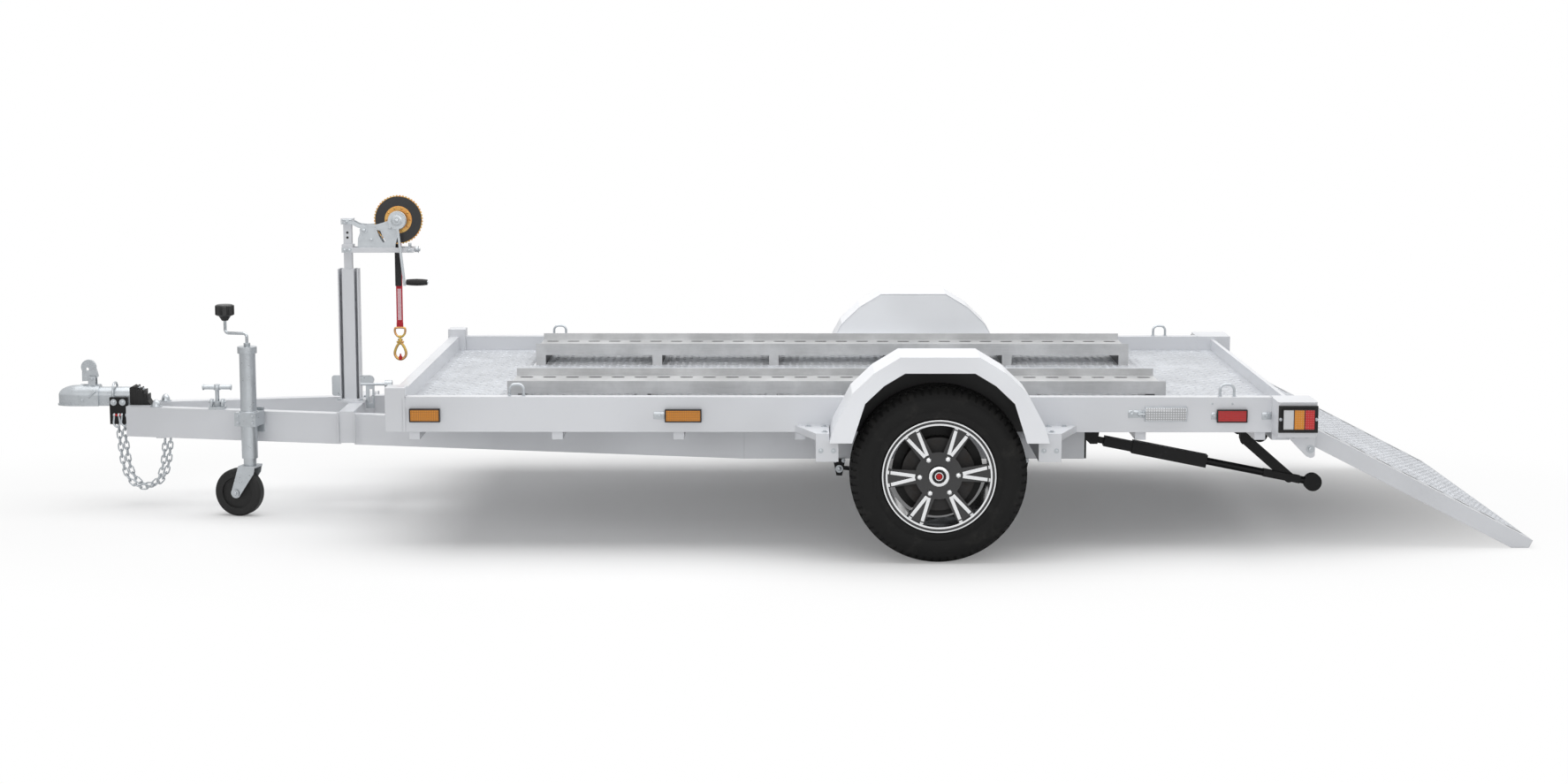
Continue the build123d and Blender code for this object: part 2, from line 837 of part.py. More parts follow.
head_x, head_z = lever_head
lever_outline = (
    (lever_pivot_x - 41, lever_pivot_z - 11),
    (lever_pivot_x + 5, lever_pivot_z - 9),
    (lever_pivot_x + 24, lever_pivot_z + 8),
    (lever_pivot_x + 20, lever_pivot_z + 26),
    (head_x + lever_head_radius - 2, head_z + 2),
    (head_x - lever_head_radius + 4, head_z - 10),
    (lever_pivot_x - 41, lever_pivot_z + 16),
)
lever = side_plate(lever_outline, -lever_half, lever_half)
lever += across(head_x, head_z, -lever_half, lever_half, lever_head_radius)
lever += across(lever_pivot_x, lever_pivot_z, -lever_half, lever_half, lever_eye_radius)
lever -= across(head_x - 5, head_z - 8, -lever_half - 1, lever_half + 1, lever_hole_radius)
lever -= across(
    lever_pivot_x, lever_pivot_z, -lever_half - 1, lever_half + 1, lever_pin_radius + bearing_gap
)
save("coupling_lever", lever)

boot_outline = (
    (coupling_rear, beam_top),
    (coupling_rear, head_axis_z + neck_radius),
    (coupling_rear + 16, head_axis_z + neck_radius + 6),
    (coupling_rear + 26, head_axis_z + neck_radius - 8),
    (coupling_rear + 48, head_axis_z + neck_radius - 12),
    (coupling_rear + 60, head_axis_z),
    (coupling_rear + boot_length, beam_top),
)
boot = side_plate(boot_outline, -boot_half_width, boot_half_width)
boot = fillet(boot.edges().filter_by(Axis.Y).sort_by(Axis.Z)[2:], 5)
save("coupling_boot", boot)


# Safety chains
def chain_link(flat):
    """One stadium-shaped link along X, lying flat or standing on edge."""
    outer = SlotOverall(link_inner_length + 2 * chain_wire, link_inner_width + 2 * chain_wire)
    inner = SlotOverall(link_inner_length, link_inner_width)
    ring = extrude(outer - inner, chain_wire / 2, both=True)
    return ring if flat else Rot(90, 0, 0) * ring


def chain(points, y):
    """Links along a row of (x, z) points, each turned a quarter from the last."""
    links = []
    for i in range(len(points) - 1):
        (x0, z0), (x1, z1) = points[i], points[i + 1]
        slope = math.degrees(math.atan2(z1 - z0, x1 - x0))
        place = Pos((x0 + x1) / 2, y, (z0 + z1) / 2) * Rot(0, -slope, 0)
        links.append(place * chain_link(i % 2 == 0))
    return links


chain_pitch = link_inner_length - link_slack


def hanging_points(start, heading, turns):
    """Points one link apart that start down and turn up again."""
    points = [start]
    angle = heading
    for turn in turns:
        x, z = points[-1]
        direction = math.radians(angle)
        points.append((x + chain_pitch * math.cos(direction), z + chain_pitch * math.sin(direction)))
        angle += turn
    return points


chain_turns = (1, 1, 1, 1, 2, 4, 7, 11, 16, 21, 23, 23, 21, 16, 11, 7, 4, 2, 1, 1, 1)
link_reach = link_inner_length / 2 + chain_wire - chain_pitch / 2
near_points = hanging_points((chain_start_x, bracket_bottom - link_reach), chain_heading, chain_turns)
far_points = [(x + chain_stagger, z) for x, z in near_points]
save("safety_chains", *chain(near_points, -chain_y), *chain(far_points, chain_y))

# Jockey wheel, modelled round its upright tube and then turned to lie along the drawbar beam
jockey_place = Pos(jockey_x, jockey_y, 0) * Rot(0, 0, -drawbar_turn)
beam_face_y = (abs(jockey_y) - drawbar_y(jockey_x)) * math.cos(math.radians(drawbar_turn)) - beam_width / 2
bracket_face_y = beam_face_y - bracket_plate
collar_face_y = bracket_face_y - running_gap
pin_seat_y = collar_face_y - pivot_pin_depth
jockey_bracket = block(
    -jockey_plate_half,
    jockey_plate_half,
    bracket_face_y,
    beam_face_y,
    beam_bottom + jockey_plate_foot,
    beam_top + jockey_plate_rise,
)
jockey_bracket += across(0, jockey_pivot_z, pin_seat_y, bracket_face_y, pivot_pin_radius)
save("jockey_bracket", jockey_place * jockey_bracket)

cap_top = jockey_tube_top + jockey_cap_height
outer_tube = rod((0, 0, jockey_tube_bottom), (0, 0, jockey_tube_top), jockey_tube_radius)
collar = block(
    -jockey_collar_width,
    jockey_collar_width,
    -jockey_collar_back,
    collar_face_y,
    jockey_pivot_z - jockey_collar_half,
    jockey_pivot_z + jockey_collar_half,
)
outer_tube += collar + rod((0, 0, jockey_tube_top), (0, 0, cap_top), jockey_cap_radius)
outer_tube -= rod(
    (0, 0, jockey_tube_bottom - 1), (0, 0, jockey_tube_top), jockey_inner_radius + slide_gap
)
outer_tube -= rod((0, 0, jockey_tube_top - 1), (0, 0, cap_top + 1), crank_rod_radius + slide_gap)
outer_tube -= across(
    0, jockey_pivot_z, pin_seat_y - bearing_gap, collar_face_y + 1, pivot_pin_radius + bearing_gap
)
save("jockey_tube", jockey_place * outer_tube)

wheel_top = 2 * jockey_wheel_radius
crown_bottom = wheel_top + fork_gap
crown_top = crown_bottom + crown_thickness
inner_bottom = crown_top + slide_gap
pin_head_top = crown_bottom - slide_gap
inner_tube = rod((0, 0, inner_bottom), (0, 0, jockey_inner_top), jockey_inner_radius)
inner_tube -= rod((0, 0, inner_bottom + jockey_plug_length), (0, 0, jockey_inner_top + 1), crank_rod_radius + 2)
inner_tube += rod((0, 0, pin_head_top - pin_head_height), (0, 0, inner_bottom + 1), pivot_pin_radius)
inner_tube += rod((0, 0, pin_head_top - pin_head_height), (0, 0, pin_head_top), pin_head_radius)
save("jockey_inner_tube", jockey_place * inner_tube)

cheek_in = jockey_wheel_width / 2 + fork_gap
cheek_out = cheek_in + fork_plate
fork_outline = (
    (-crown_half, crown_top),
    (crown_half, crown_top),
    (crown_half - 6, crown_bottom - 24),
    (-jockey_trail + jockey_axle_boss - 2, jockey_wheel_radius - 8),
    (-jockey_trail - jockey_axle_boss, jockey_wheel_radius),
)
cheek = side_plate(fork_outline, -cheek_out, -cheek_in)
cheek += across(-jockey_trail, jockey_wheel_radius, -cheek_out, -cheek_in, jockey_axle_boss)
crown = block(-crown_half, crown_half, -cheek_out, cheek_out, crown_bottom, crown_top)
fork = cheek + mirrored(cheek) + crown
fork -= rod((0, 0, crown_bottom - 1), (0, 0, crown_top + 1), pivot_pin_radius + slide_gap)
fork += across(-jockey_trail, jockey_wheel_radius, -cheek_out - 4, cheek_out + 4, jockey_axle_radius)
save("jockey_fork", jockey_place * fork)

wheel_half = jockey_wheel_width / 2
small_wheel = across(-jockey_trail, jockey_wheel_radius, -wheel_half, wheel_half, jockey_wheel_radius)
small_wheel = fillet(small_wheel.edges().filter_by(GeomType.CIRCLE), 12)
recess = across(
    -jockey_trail,
    jockey_wheel_radius,
    -wheel_half - 1,
    -wheel_half + jockey_rim_recess,
    jockey_rim_radius,
    jockey_axle_boss,
)
small_wheel -= recess
small_wheel -= mirrored(recess)
small_wheel -= across(
    -jockey_trail, jockey_wheel_radius, -wheel_half - 1, wheel_half + 1, jockey_axle_radius + bearing_gap
)
save("jockey_wheel", jockey_place * small_wheel)

crank_path = (
    (0, 0, jockey_inner_top + 20),
    (0, 0, crank_turn_z),
    (-crank_offset, 0, crank_turn_z),
    (-crank_offset, 0, crank_top),
)
jockey_crank = bent_rod(crank_path, crank_rod_radius, crank_bend)
knob = rod((-crank_offset, 0, crank_top - 4), (-crank_offset, 0, crank_top + knob_height), knob_radius)
knob = fillet(knob.edges().filter_by(GeomType.CIRCLE), 8)
collar_ring = rod((0, 0, cap_top + slide_gap), (0, 0, cap_top + 14), 2 * crank_rod_radius + 1)
save("jockey_crank", jockey_place * (jockey_crank + knob + collar_ring))

# Winch post on the cross tube
post_half = post_width / 2
foot_top = cross_tube_top + post_foot_plate
foot = block(post_x - foot_front, post_x + foot_rear, -foot_half, foot_half, cross_tube_top, foot_top)
channel = block(post_x - post_half, post_x + post_half, -post_depth / 2, post_depth / 2, foot_top, post_top)
channel -= block(
    post_x - post_half + post_wall,
    post_x + post_half - post_wall,
    -post_depth / 2 - 1,
    post_depth / 2 - post_wall,
    foot_top,
    post_top + 1,
)
tube_half = post_tube_side / 2
tube_y = post_depth / 2 - post_wall - post_tube_side
mast_half = mast_side / 2
mast_y = tube_y + tube_half
post_tube = block(
    post_x - tube_half, post_x + tube_half, tube_y, tube_y + post_tube_side, foot_top, post_top
)
post_tube -= block(
    post_x - mast_half - slide_gap,
    post_x + mast_half + slide_gap,
    mast_y - mast_half - slide_gap,
    mast_y + mast_half + slide_gap,
    mast_bottom - mast_travel - running_gap,
    post_top + 1,
)
save("winch_post", foot + channel + post_tube)

# Clamp on the post, and the handle that clamps the cross tube's slide to the drawbar
post_rear = post_x + post_half
clamp_in = -post_depth / 2 + 1
clamp_out = clamp_in + clamp_plate
post_bracket = block(post_x + foot_rear, post_clamp_rear, clamp_in, clamp_out, clamp_low, post_clamp_z)
slot_low = clamp_low + 20
slot_high = post_clamp_z - 20
post_bracket -= block(
    post_x + foot_rear + 14, post_clamp_rear - 8, clamp_in - 1, clamp_out + 1, slot_low, slot_high
)
post_bracket += block(post_rear, post_clamp_rear - 18, clamp_in, clamp_out, post_clamp_z, post_clamp_z + 36)
post_bracket += across(post_clamp_rear - 18, post_clamp_z + 18, clamp_in, clamp_out, 18)
knob_axis_y = (clamp_in + clamp_out) / 2
knob_start = post_clamp_end - 29
post_bracket += rod((post_rear, knob_axis_y, post_clamp_z), (knob_start, knob_axis_y, post_clamp_z), 6)
post_bracket += rod((knob_start, knob_axis_y, post_clamp_z), (post_clamp_end, knob_axis_y, post_clamp_z), 16)
post_ear = block(post_x - post_half - 33, post_x - post_half, clamp_in, clamp_out, 447, 530)
post_ear = fillet(post_ear.edges().filter_by(Axis.Y).sort_by(Axis.X)[:2], 10)
save("post_clamp", post_bracket, post_ear)

clamp_y = -drawbar_y(clamp_x)
handle_z = beam_top + clamp_height - handle_radius
clamp_base = block(clamp_x - 32, clamp_x + 32, clamp_y - 20, clamp_y + 20, beam_top, beam_top + 10)
clamp_stem = rod((clamp_x, clamp_y, beam_top + 9), (clamp_x, clamp_y, handle_z), handle_radius - 1)
clamp_bar = rod(
    (clamp_x - handle_half, clamp_y, handle_z), (clamp_x + handle_half, clamp_y, handle_z), handle_radius
)
save("drawbar_clamp", clamp_base + clamp_stem + clamp_bar)

mast = block(
    post_x - mast_half, post_x + mast_half, mast_y - mast_half, mast_y + mast_half, mast_bottom, mast_top
)
cap_half = mast_cap_side / 2
mast_cap = block(
    post_x - cap_half,
    post_x + cap_half,
    mast_y - cap_half,
    mast_y + cap_half,
    mast_top - mast_cap_height,
    mast_top,
)
save("winch_mast", mast + mast_cap)

# Two bars clasp the mast and carry the winch
arm_top = arm_bottom + arm_height
arm_outer_y = arm_inner_y + arm_thickness
near_bar = block(arm_front, arm_rear, mast_y - arm_outer_y, mast_y - arm_inner_y, arm_bottom, arm_top)
far_bar = block(arm_front, arm_rear, mast_y + arm_inner_y, mast_y + arm_outer_y, arm_bottom, arm_top)
arm_collar = block(
    arm_front,
    arm_front + 2 * (post_x - arm_front),
    mast_y - arm_inner_y,
    mast_y + arm_inner_y,
    arm_bottom,
    arm_bottom + arm_collar_height,
)
arm_tie = block(
    arm_rear - arm_tie_length,
    arm_rear,
    mast_y - arm_inner_y,
    mast_y + arm_inner_y,
    arm_bottom + arm_thickness,
    arm_top - arm_thickness,
)
winch_arm = near_bar + far_bar + arm_collar + arm_tie - mast
save("winch_arm", winch_arm)

plate_outline = (
    (post_x + 2, mast_top - 22),
    (post_x + 2, mast_top - 8),
    (post_x + 24, mast_top - 10),
    (post_x + 48, mast_top - 22),
    (-2234.0, 1137.0),
    (-2188.0, 1139.0),
    (-2143.0, 1153.0),
    (-2126.0, 1161.0),
    (-2099.0, 1122.0),
    (-2117.0, 1054.0),
    (-2117.0, arm_bottom + 4),
    (-2269.0, arm_bottom + 4),
    (-2266.0, 1082.0),
    (-2257.0, 1108.0),
    (-2250.0, 1122.0),
    (post_x + 44, mast_top - 36),
    (post_x + 20, mast_top - 24),
)
window_outline = (
    (-2190.0, 1117.0),
    (-2176.0, 1113.0),
    (-2168.0, 1092.0),
    (-2155.0, 1070.0),
    (-2166.0, 1065.0),
    (-2181.0, 1090.0),
)
winch_side = side_plate(plate_outline, mast_y - arm_inner_y, mast_y - arm_inner_y + winch_plate)
winch_side -= side_plate(window_outline, mast_y - arm_inner_y - 1, mast_y - arm_inner_y + winch_plate + 1)
shaft_y = mast_y - arm_inner_y
winch_side -= across(
    winch_axis_x, winch_axis_z, shaft_y - 1, shaft_y + winch_plate + 1, shaft_radius + bearing_gap
)
winch_side += across(
    winch_axis_x,
    winch_axis_z,
    shaft_y,
    shaft_y + winch_plate,
    shaft_radius + bearing_gap + bearing_ring,
    shaft_radius + bearing_gap,
)
far_side = Pos(0, 2 * arm_inner_y - winch_plate, 0) * winch_side
save("winch_frame", winch_side, far_side)


def gear_outline():
    """A toothed wheel seen along its shaft, as a closed row of corners."""
    corners = []
    for i in range(gear_teeth):
        for share, radius in (
            (0.0, gear_disc_radius - gear_tooth_depth),
            (0.25, gear_disc_radius),
            (0.6, gear_disc_radius),
            (0.85, gear_disc_radius - gear_tooth_depth),
        ):
            corner = wheel_point(radius, 360 / gear_teeth * (i + share))
            corners.append((winch_axis_x + corner.X, winch_axis_z + corner.Y))
    return corners


ring_y = shaft_y + winch_plate + running_gap
cover_y = ring_y + small_gear_depth
gear_y = cover_y + cover_depth
gear_back = gear_y + gear_disc_depth
hub_y = mast_y - arm_outer_y - running_gap
drum = across(winch_axis_x, winch_axis_z, gear_back, mast_y + drum_half, drum_radius)
drum += across(winch_axis_x, winch_axis_z, hub_y, mast_y + arm_outer_y, shaft_radius)
drum += side_plate(gear_outline(), gear_y, gear_back)
drum += across(winch_axis_x, winch_axis_z, cover_y, gear_y, cover_disc_radius)
drum += across(winch_axis_x, winch_axis_z, ring_y, cover_y, small_gear_radius)
save("winch_drum", drum)

crank_y = hub_y - crank_hub_depth
crank_bottom_z = winch_axis_z - crank_length
crank_end_x = winch_axis_x + crank_offset_x
crank_outline = (
    (winch_axis_x - crank_width / 2, winch_axis_z),
    (winch_axis_x + crank_width / 2, winch_axis_z),
    (crank_end_x + crank_width / 2, crank_bottom_z - grip_radius),
    (crank_end_x - crank_width / 2, crank_bottom_z - grip_radius),
)
crank_arm = side_plate(crank_outline, crank_y, crank_y + crank_thickness)
crank_hub = across(winch_axis_x, winch_axis_z, crank_y, hub_y, crank_hub_radius)
grip_y = crank_y + crank_thickness / 2
grip_start = crank_end_x + crank_width / 2
grip_stub = rod((crank_end_x, grip_y, crank_bottom_z), (grip_start + 2, grip_y, crank_bottom_z), 4)
save("winch_crank", crank_arm + crank_hub + grip_stub)
grip_profile = make_face(
    Polyline(
        (0, 0),
        (0, grip_radius - 3),
        (grip_length * 0.2, grip_radius - 1),
        (grip_length * 0.5, grip_radius),
        (grip_length * 0.8, grip_radius - 1),
        (grip_length, grip_radius - 3),
        (grip_length, 0),
        close=True,
    )
)
grip = Pos(grip_start + 2, grip_y, crank_bottom_z) * revolve(grip_profile, Axis.X)
save("winch_grip", grip)

# Strap, ring and hook that hang from the drum
hook_x = winch_axis_x + strap_offset
strap_top = winch_axis_z - drum_radius - bearing_gap
strap = block(
    hook_x - strap_width / 2,
    hook_x + strap_width / 2,
    mast_y - strap_thickness / 2,
    mast_y + strap_thickness / 2,
    strap_bottom,
    strap_sleeve_bottom,
)
strap += block(
    hook_x - strap_width / 2,
    hook_x + strap_width / 2,
    mast_y - strap_sleeve_thickness / 2,
    mast_y + strap_sleeve_thickness / 2,
    strap_sleeve_bottom,
    strap_top,
)
save("winch_strap", strap)
ring_z = strap_bottom - slide_gap - ring_radius
ring = Pos(hook_x, mast_y, ring_z) * Rot(90, 0, 0) * Torus(ring_radius - ring_wire_radius, ring_wire_radius)
save("strap_ring", ring)


def teardrop(radius, tip):
    """A circle drawn out to a point above it."""
    rise = math.asin(radius / tip)
    side = (radius * math.cos(rise), radius * math.sin(rise))
    point = make_face(Polyline((-side[0], side[1]), (0, tip), side, close=True))
    return Circle(radius) + point


hook_centre_z = hook_bottom + hook_radius
hook_top = ring_z - ring_radius - slide_gap
loop_face = teardrop(hook_radius, hook_tip) - teardrop(hook_radius - hook_wire, hook_tip - hook_wire)
loop = Plane((hook_x, mast_y, hook_centre_z), x_dir=(1, 0, 0), z_dir=(0, -1, 0)) * loop_face
hook = extrude(loop, hook_wire / 2, both=True)
hook += rod(
    (hook_x, mast_y, hook_centre_z + hook_tip - hook_wire - 4), (hook_x, mast_y, hook_top), swivel_radius
)
save("strap_hook", hook)


# Ramp, modelled along its slope from the hinge axis
def on_slope(shape):
    """A ramp piece, modelled lying level from its hinge, turned down to the ground."""
    return Pos(ramp_hinge_x, 0, ramp_hinge_z) * Rot(0, ramp_angle, 0) * shape


surface = ramp_surface_offset
underside = surface - ramp_depth
side_beam = side_plate(
    (
        (-8, surface - 6),
        (0, surface),
        (ramp_length, surface),
        (ramp_length, underside),
        (22, underside),
        (-8, -10),
    ),
    -ramp_half_width,
    -ramp_half_width + ramp_side_width,
)
side_beam += across(0, 0, -ramp_half_width, -ramp_half_width + ramp_side_width, ramp_eye_radius)
ramp_inner_y = ramp_half_width - ramp_side_width
ramp_frame = side_beam + mirrored(side_beam)
bar_pitch = (ramp_length - 2.5 * ramp_cross_width) / (ramp_cross_count - 1)
for i in range(ramp_cross_count):
    x = 0.75 * ramp_cross_width + i * bar_pitch
    ramp_frame += block(
        x, x + ramp_cross_width, -ramp_inner_y, ramp_inner_y, underside + 8, surface - ramp_plate_thickness
    )
ramp_frame -= across(0, 0, -ramp_half_width - 1, ramp_half_width + 1, ramp_pin_radius + bearing_gap)
below_ground = block(
    ramp_hinge_x, ramp_tip_x + 1, -ramp_half_width, ramp_half_width, -ramp_depth, ramp_tip_gap
)
save("ramp_frame", on_slope(ramp_frame) - below_ground)

ramp_plate = block(0, ramp_length, -ramp_inner_y, ramp_inner_y, surface - ramp_plate_thickness, surface)
slot_pitch = ramp_length / ramp_slot_count
for i in range(ramp_slot_count):
    for row_y in (-ramp_inner_y + ramp_slot_inset, ramp_inner_y - ramp_slot_inset):
        place = Pos(slot_pitch * (i + 0.5), row_y, surface - ramp_plate_thickness - 1)
        slot = extrude(SlotOverall(ramp_slot_length, ramp_slot_width), ramp_plate_thickness + 2)
        ramp_plate -= place * slot
save("ramp_plate", on_slope(ramp_plate))

# Hinge plates below the lamp boxes, with the pins that the ramp turns on
hinge_outline = (
    (1290.0, rail_bottom),
    (1290.0, 438.0),
    (1325.0, 400.0),
    (1372.0, 352.0),
    (1385.0, 347.0),
    (1397.0, 349.0),
    (1402.0, 356.0),
    (1402.0, rail_bottom),
)
hinge_plate = side_plate(hinge_outline, -rail_inner_y - hinge_plate_width, -rail_inner_y)
pin_tip_y = -ramp_half_width + ramp_pin_reach
hinge_pin = across(ramp_hinge_x, ramp_hinge_z, -rail_inner_y, pin_tip_y, ramp_pin_radius)
save("ramp_hinges", *both(hinge_plate), *both(hinge_pin))

# Drop legs with telescopic struts
strut_run = math.hypot(leg_foot[0] - strut_pivot[0], leg_foot[1] - strut_pivot[1])
strut_slope = math.degrees(math.atan2(strut_pivot[1] - leg_foot[1], leg_foot[0] - strut_pivot[0]))
leg_run = math.hypot(leg_foot[0] - leg_pivot[0], leg_pivot[1] - leg_foot[1])
leg_slope = math.degrees(math.atan2(leg_pivot[1] - leg_foot[1], leg_foot[0] - leg_pivot[0]))
leg_half = leg_thickness / 2
ear_in = leg_half + running_gap
ear_out = ear_in + ear_thickness


def bracket_ears(x, z, top, root_x):
    """Two ears on a plane of constant Y that hold a pin at x, z, rooted at root_x."""
    outline = (
        (root_x, top),
        (x + ear_reach, top),
        (x + ear_tip, z - ear_drop),
        (x - ear_tip, z - ear_drop),
        (root_x, z + 4),
    )
    ears = side_plate(outline, -leg_y - ear_out, -leg_y - ear_in)
    ears += side_plate(outline, -leg_y + ear_in, -leg_y + ear_out)
    return ears + across(x, z, -leg_y - ear_out, -leg_y + ear_out, leg_pin_radius)


leg_bracket = bracket_ears(leg_pivot[0], leg_pivot[1], beam_top, leg_pivot[0] - ear_reach)
strut_bracket = bracket_ears(strut_pivot[0], strut_pivot[1], beam_top, chassis_rear)
strut_bracket += block(
    chassis_rear, chassis_rear + 8, -leg_y - ear_out, -leg_y + ear_out, beam_bottom, beam_top
)
save("leg_brackets", *both(leg_bracket), *both(strut_bracket))
pin_hole = across(0, 0, -leg_half - 1, leg_half + 1, leg_pin_radius + bearing_gap)


def drop_leg():
    """A flat leg, modelled along +X from its pivot."""
    half = leg_width / 2
    arm = block(0, leg_run, -leg_half, leg_half, -half, half)
    arm += across(0, 0, -leg_half, leg_half, half) + across(leg_run, 0, -leg_half, leg_half, half)
    return arm - pin_hole


def square_bar(x0, x1, side):
    """A bar of square section along X."""
    return block(x0, x1, -side / 2, side / 2, -side / 2, side / 2)


def strut_outer():
    """The strut's fixed tube, with an eye at its pivot and a thicker sleeve at its mouth."""
    piece = square_bar(strut_neck - 6, strut_sleeve_start, strut_outer_side)
    piece += square_bar(strut_sleeve_start, strut_outer_length, strut_sleeve_side)
    piece += across(0, 0, -leg_half, leg_half, eye_radius)
    piece += block(0, strut_neck, -leg_half, leg_half, -12, 12)
    bore_start = strut_outer_length - strut_overlap - leg_stroke - running_gap
    piece -= rod((bore_start, 0, 0), (strut_outer_length + 1, 0, 0), strut_inner_radius + slide_gap)
    return piece - pin_hole


def strut_inner():
    """The strut's sliding rod, two cheeks past the leg's end, and a foot of two discs."""
    inside = strut_outer_length - strut_overlap
    stop = strut_run - cheek_back
    beyond = strut_run + leg_width / 2 + pivot_play + stop_plate
    tip = strut_run + strut_reach
    piece = rod((inside, 0, 0), (stop, 0, 0), strut_inner_radius)
    piece += block(stop - stop_plate, stop, -ear_out, ear_out, -cheek_half, cheek_half)
    piece += block(beyond - stop_plate, beyond, -ear_out, ear_out, -cheek_half, cheek_half)
    piece += rod((beyond - 1, 0, 0), (tip, 0, 0), strut_inner_radius)
    for side in (-1, 1):
        low, high = sorted((side * ear_in, side * ear_out))
        piece += block(stop - stop_plate, beyond, low, high, -cheek_half, cheek_half)
        low, high = sorted((side * 4, side * (4 + foot_width / 2)))
        piece += across(tip, 0, low, high, foot_radius)
    return piece


leg_place = Pos(leg_pivot[0], -leg_y, leg_pivot[1]) * Rot(0, leg_slope, 0)
strut_place = Pos(strut_pivot[0], -leg_y, strut_pivot[1]) * Rot(0, strut_slope, 0)
for name, shape, place in (
    ("leg", drop_leg(), leg_place),
    ("strut_outer", strut_outer(), strut_place),
    ("strut_inner", strut_inner(), strut_place),
):
    placed = place * shape
    save(name + "_left", placed)
    save(name + "_right", mirrored(placed))

# Reflectors and lamps on the left side, the same on the right
rail_face = -tray_half_width


def on_rail(x0, x1, z0, z1, depth=lamp_depth):
    """A lamp or reflector on a side rail's outer face, both sides."""
    piece = block(x0, x1, rail_face - depth, rail_face, z0, z1)
    piece = fillet(piece.edges().filter_by(Axis.Y), 5)
    return both(piece)


def reflector(span, height):
    """A pair of lamps or reflectors between two positions along the rails."""
    return on_rail(span[0], span[1], reflector_bottom, reflector_bottom + height)


ambers = [piece for span in amber_spans for piece in reflector(span, reflector_height)]
save("amber_reflectors", *ambers)
save("marker_lamps", *reflector(marker_span, marker_height))
save("red_reflectors", *reflector(red_span, reflector_height))
bezel_face = -lamp_box_outer_y - bezel_depth
bezel_start = side_rail_end + bezel_margin
bezel_end = lamp_box_rear - bezel_margin
bezel_top = bezel_bottom + bezel_height
bezel = block(bezel_start, bezel_end, bezel_face, -lamp_box_outer_y, bezel_bottom, bezel_top)
save("tail_lamp_bezels", *both(bezel))
lens = block(
    bezel_start + lens_margin,
    bezel_end - lens_margin,
    bezel_face - lens_depth,
    bezel_face,
    bezel_bottom + lens_margin,
    bezel_top - lens_margin,
)
save("tail_lenses", *both(lens))

# Tie-down rings on the rail tops
rings = []
ring_y = -rail_inner_y - rail_thickness / 2
for x in ring_positions:
    hoop = bent_rod(
        (
            (x - ring_half, ring_y, rail_top),
            (x - ring_half, ring_y, rail_top + ring_rise),
            (x + ring_half, ring_y, rail_top + ring_rise),
            (x + ring_half, ring_y, rail_top),
        ),
        ring_wire,
        ring_bend,
    )
    rings += both(hoop)
save("tie_rings", *rings)

print("centre_x", round(centre_x, 3), "ramp_angle", round(ramp_angle, 3))
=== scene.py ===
"""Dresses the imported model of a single-axle car trailer with its ramp down."""

import json
import math

import bmesh
import bpy
from mathutils import Matrix, Vector


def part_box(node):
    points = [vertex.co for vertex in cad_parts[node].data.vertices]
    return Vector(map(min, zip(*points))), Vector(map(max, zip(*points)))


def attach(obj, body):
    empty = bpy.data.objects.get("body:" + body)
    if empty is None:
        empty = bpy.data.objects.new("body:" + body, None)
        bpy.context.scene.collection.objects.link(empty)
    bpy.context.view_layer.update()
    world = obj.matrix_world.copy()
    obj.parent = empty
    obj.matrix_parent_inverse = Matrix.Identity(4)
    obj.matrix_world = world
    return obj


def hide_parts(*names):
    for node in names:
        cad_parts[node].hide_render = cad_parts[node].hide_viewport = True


bl_info = {
    "name": "Car trailer",
    "version": (1, 0, 0),
    "blender": (4, 5, 0),
    "location": "3D View > Sidebar > Trailer",
    "description": "Finishes and fine detail for a car trailer with a tilting ramp and a hand winch",
    "category": "Object",
}

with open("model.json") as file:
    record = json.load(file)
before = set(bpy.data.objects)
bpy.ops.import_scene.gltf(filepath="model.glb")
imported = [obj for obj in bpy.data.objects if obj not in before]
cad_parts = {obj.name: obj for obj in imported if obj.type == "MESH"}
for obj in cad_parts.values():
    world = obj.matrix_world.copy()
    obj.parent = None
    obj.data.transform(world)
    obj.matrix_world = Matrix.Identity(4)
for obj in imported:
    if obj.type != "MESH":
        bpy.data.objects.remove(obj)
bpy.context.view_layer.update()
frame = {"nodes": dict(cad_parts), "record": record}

MM = 0.001
LEFT = -1.0
RIGHT = 1.0
RAIL_FACE = 963.0
STUD_CIRCLE = 0.06985


def middle(node):
    """The centre of a CAD node's box."""
    low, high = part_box(node)
    return (low + high) / 2


AXLE = middle("tyre_left")


def at(x, y, z):
    """A point in millimetres: x to the rear of the axle, y to the right, z up from the ground."""
    return Vector((AXLE.x + x * MM, y * MM, z * MM))


def linear(red, green, blue):
    """A screen colour from 0 to 255 as the linear numbers that shaders use."""
    made = []
    for part in (red, green, blue):
        level = part / 255
        made.append(level / 12.92 if level <= 0.04045 else ((level + 0.055) / 1.055) ** 2.4)
    return tuple(made)


def scaled(colour, factor):
    """A colour made darker or lighter by one factor."""
    return tuple(part * factor for part in colour)


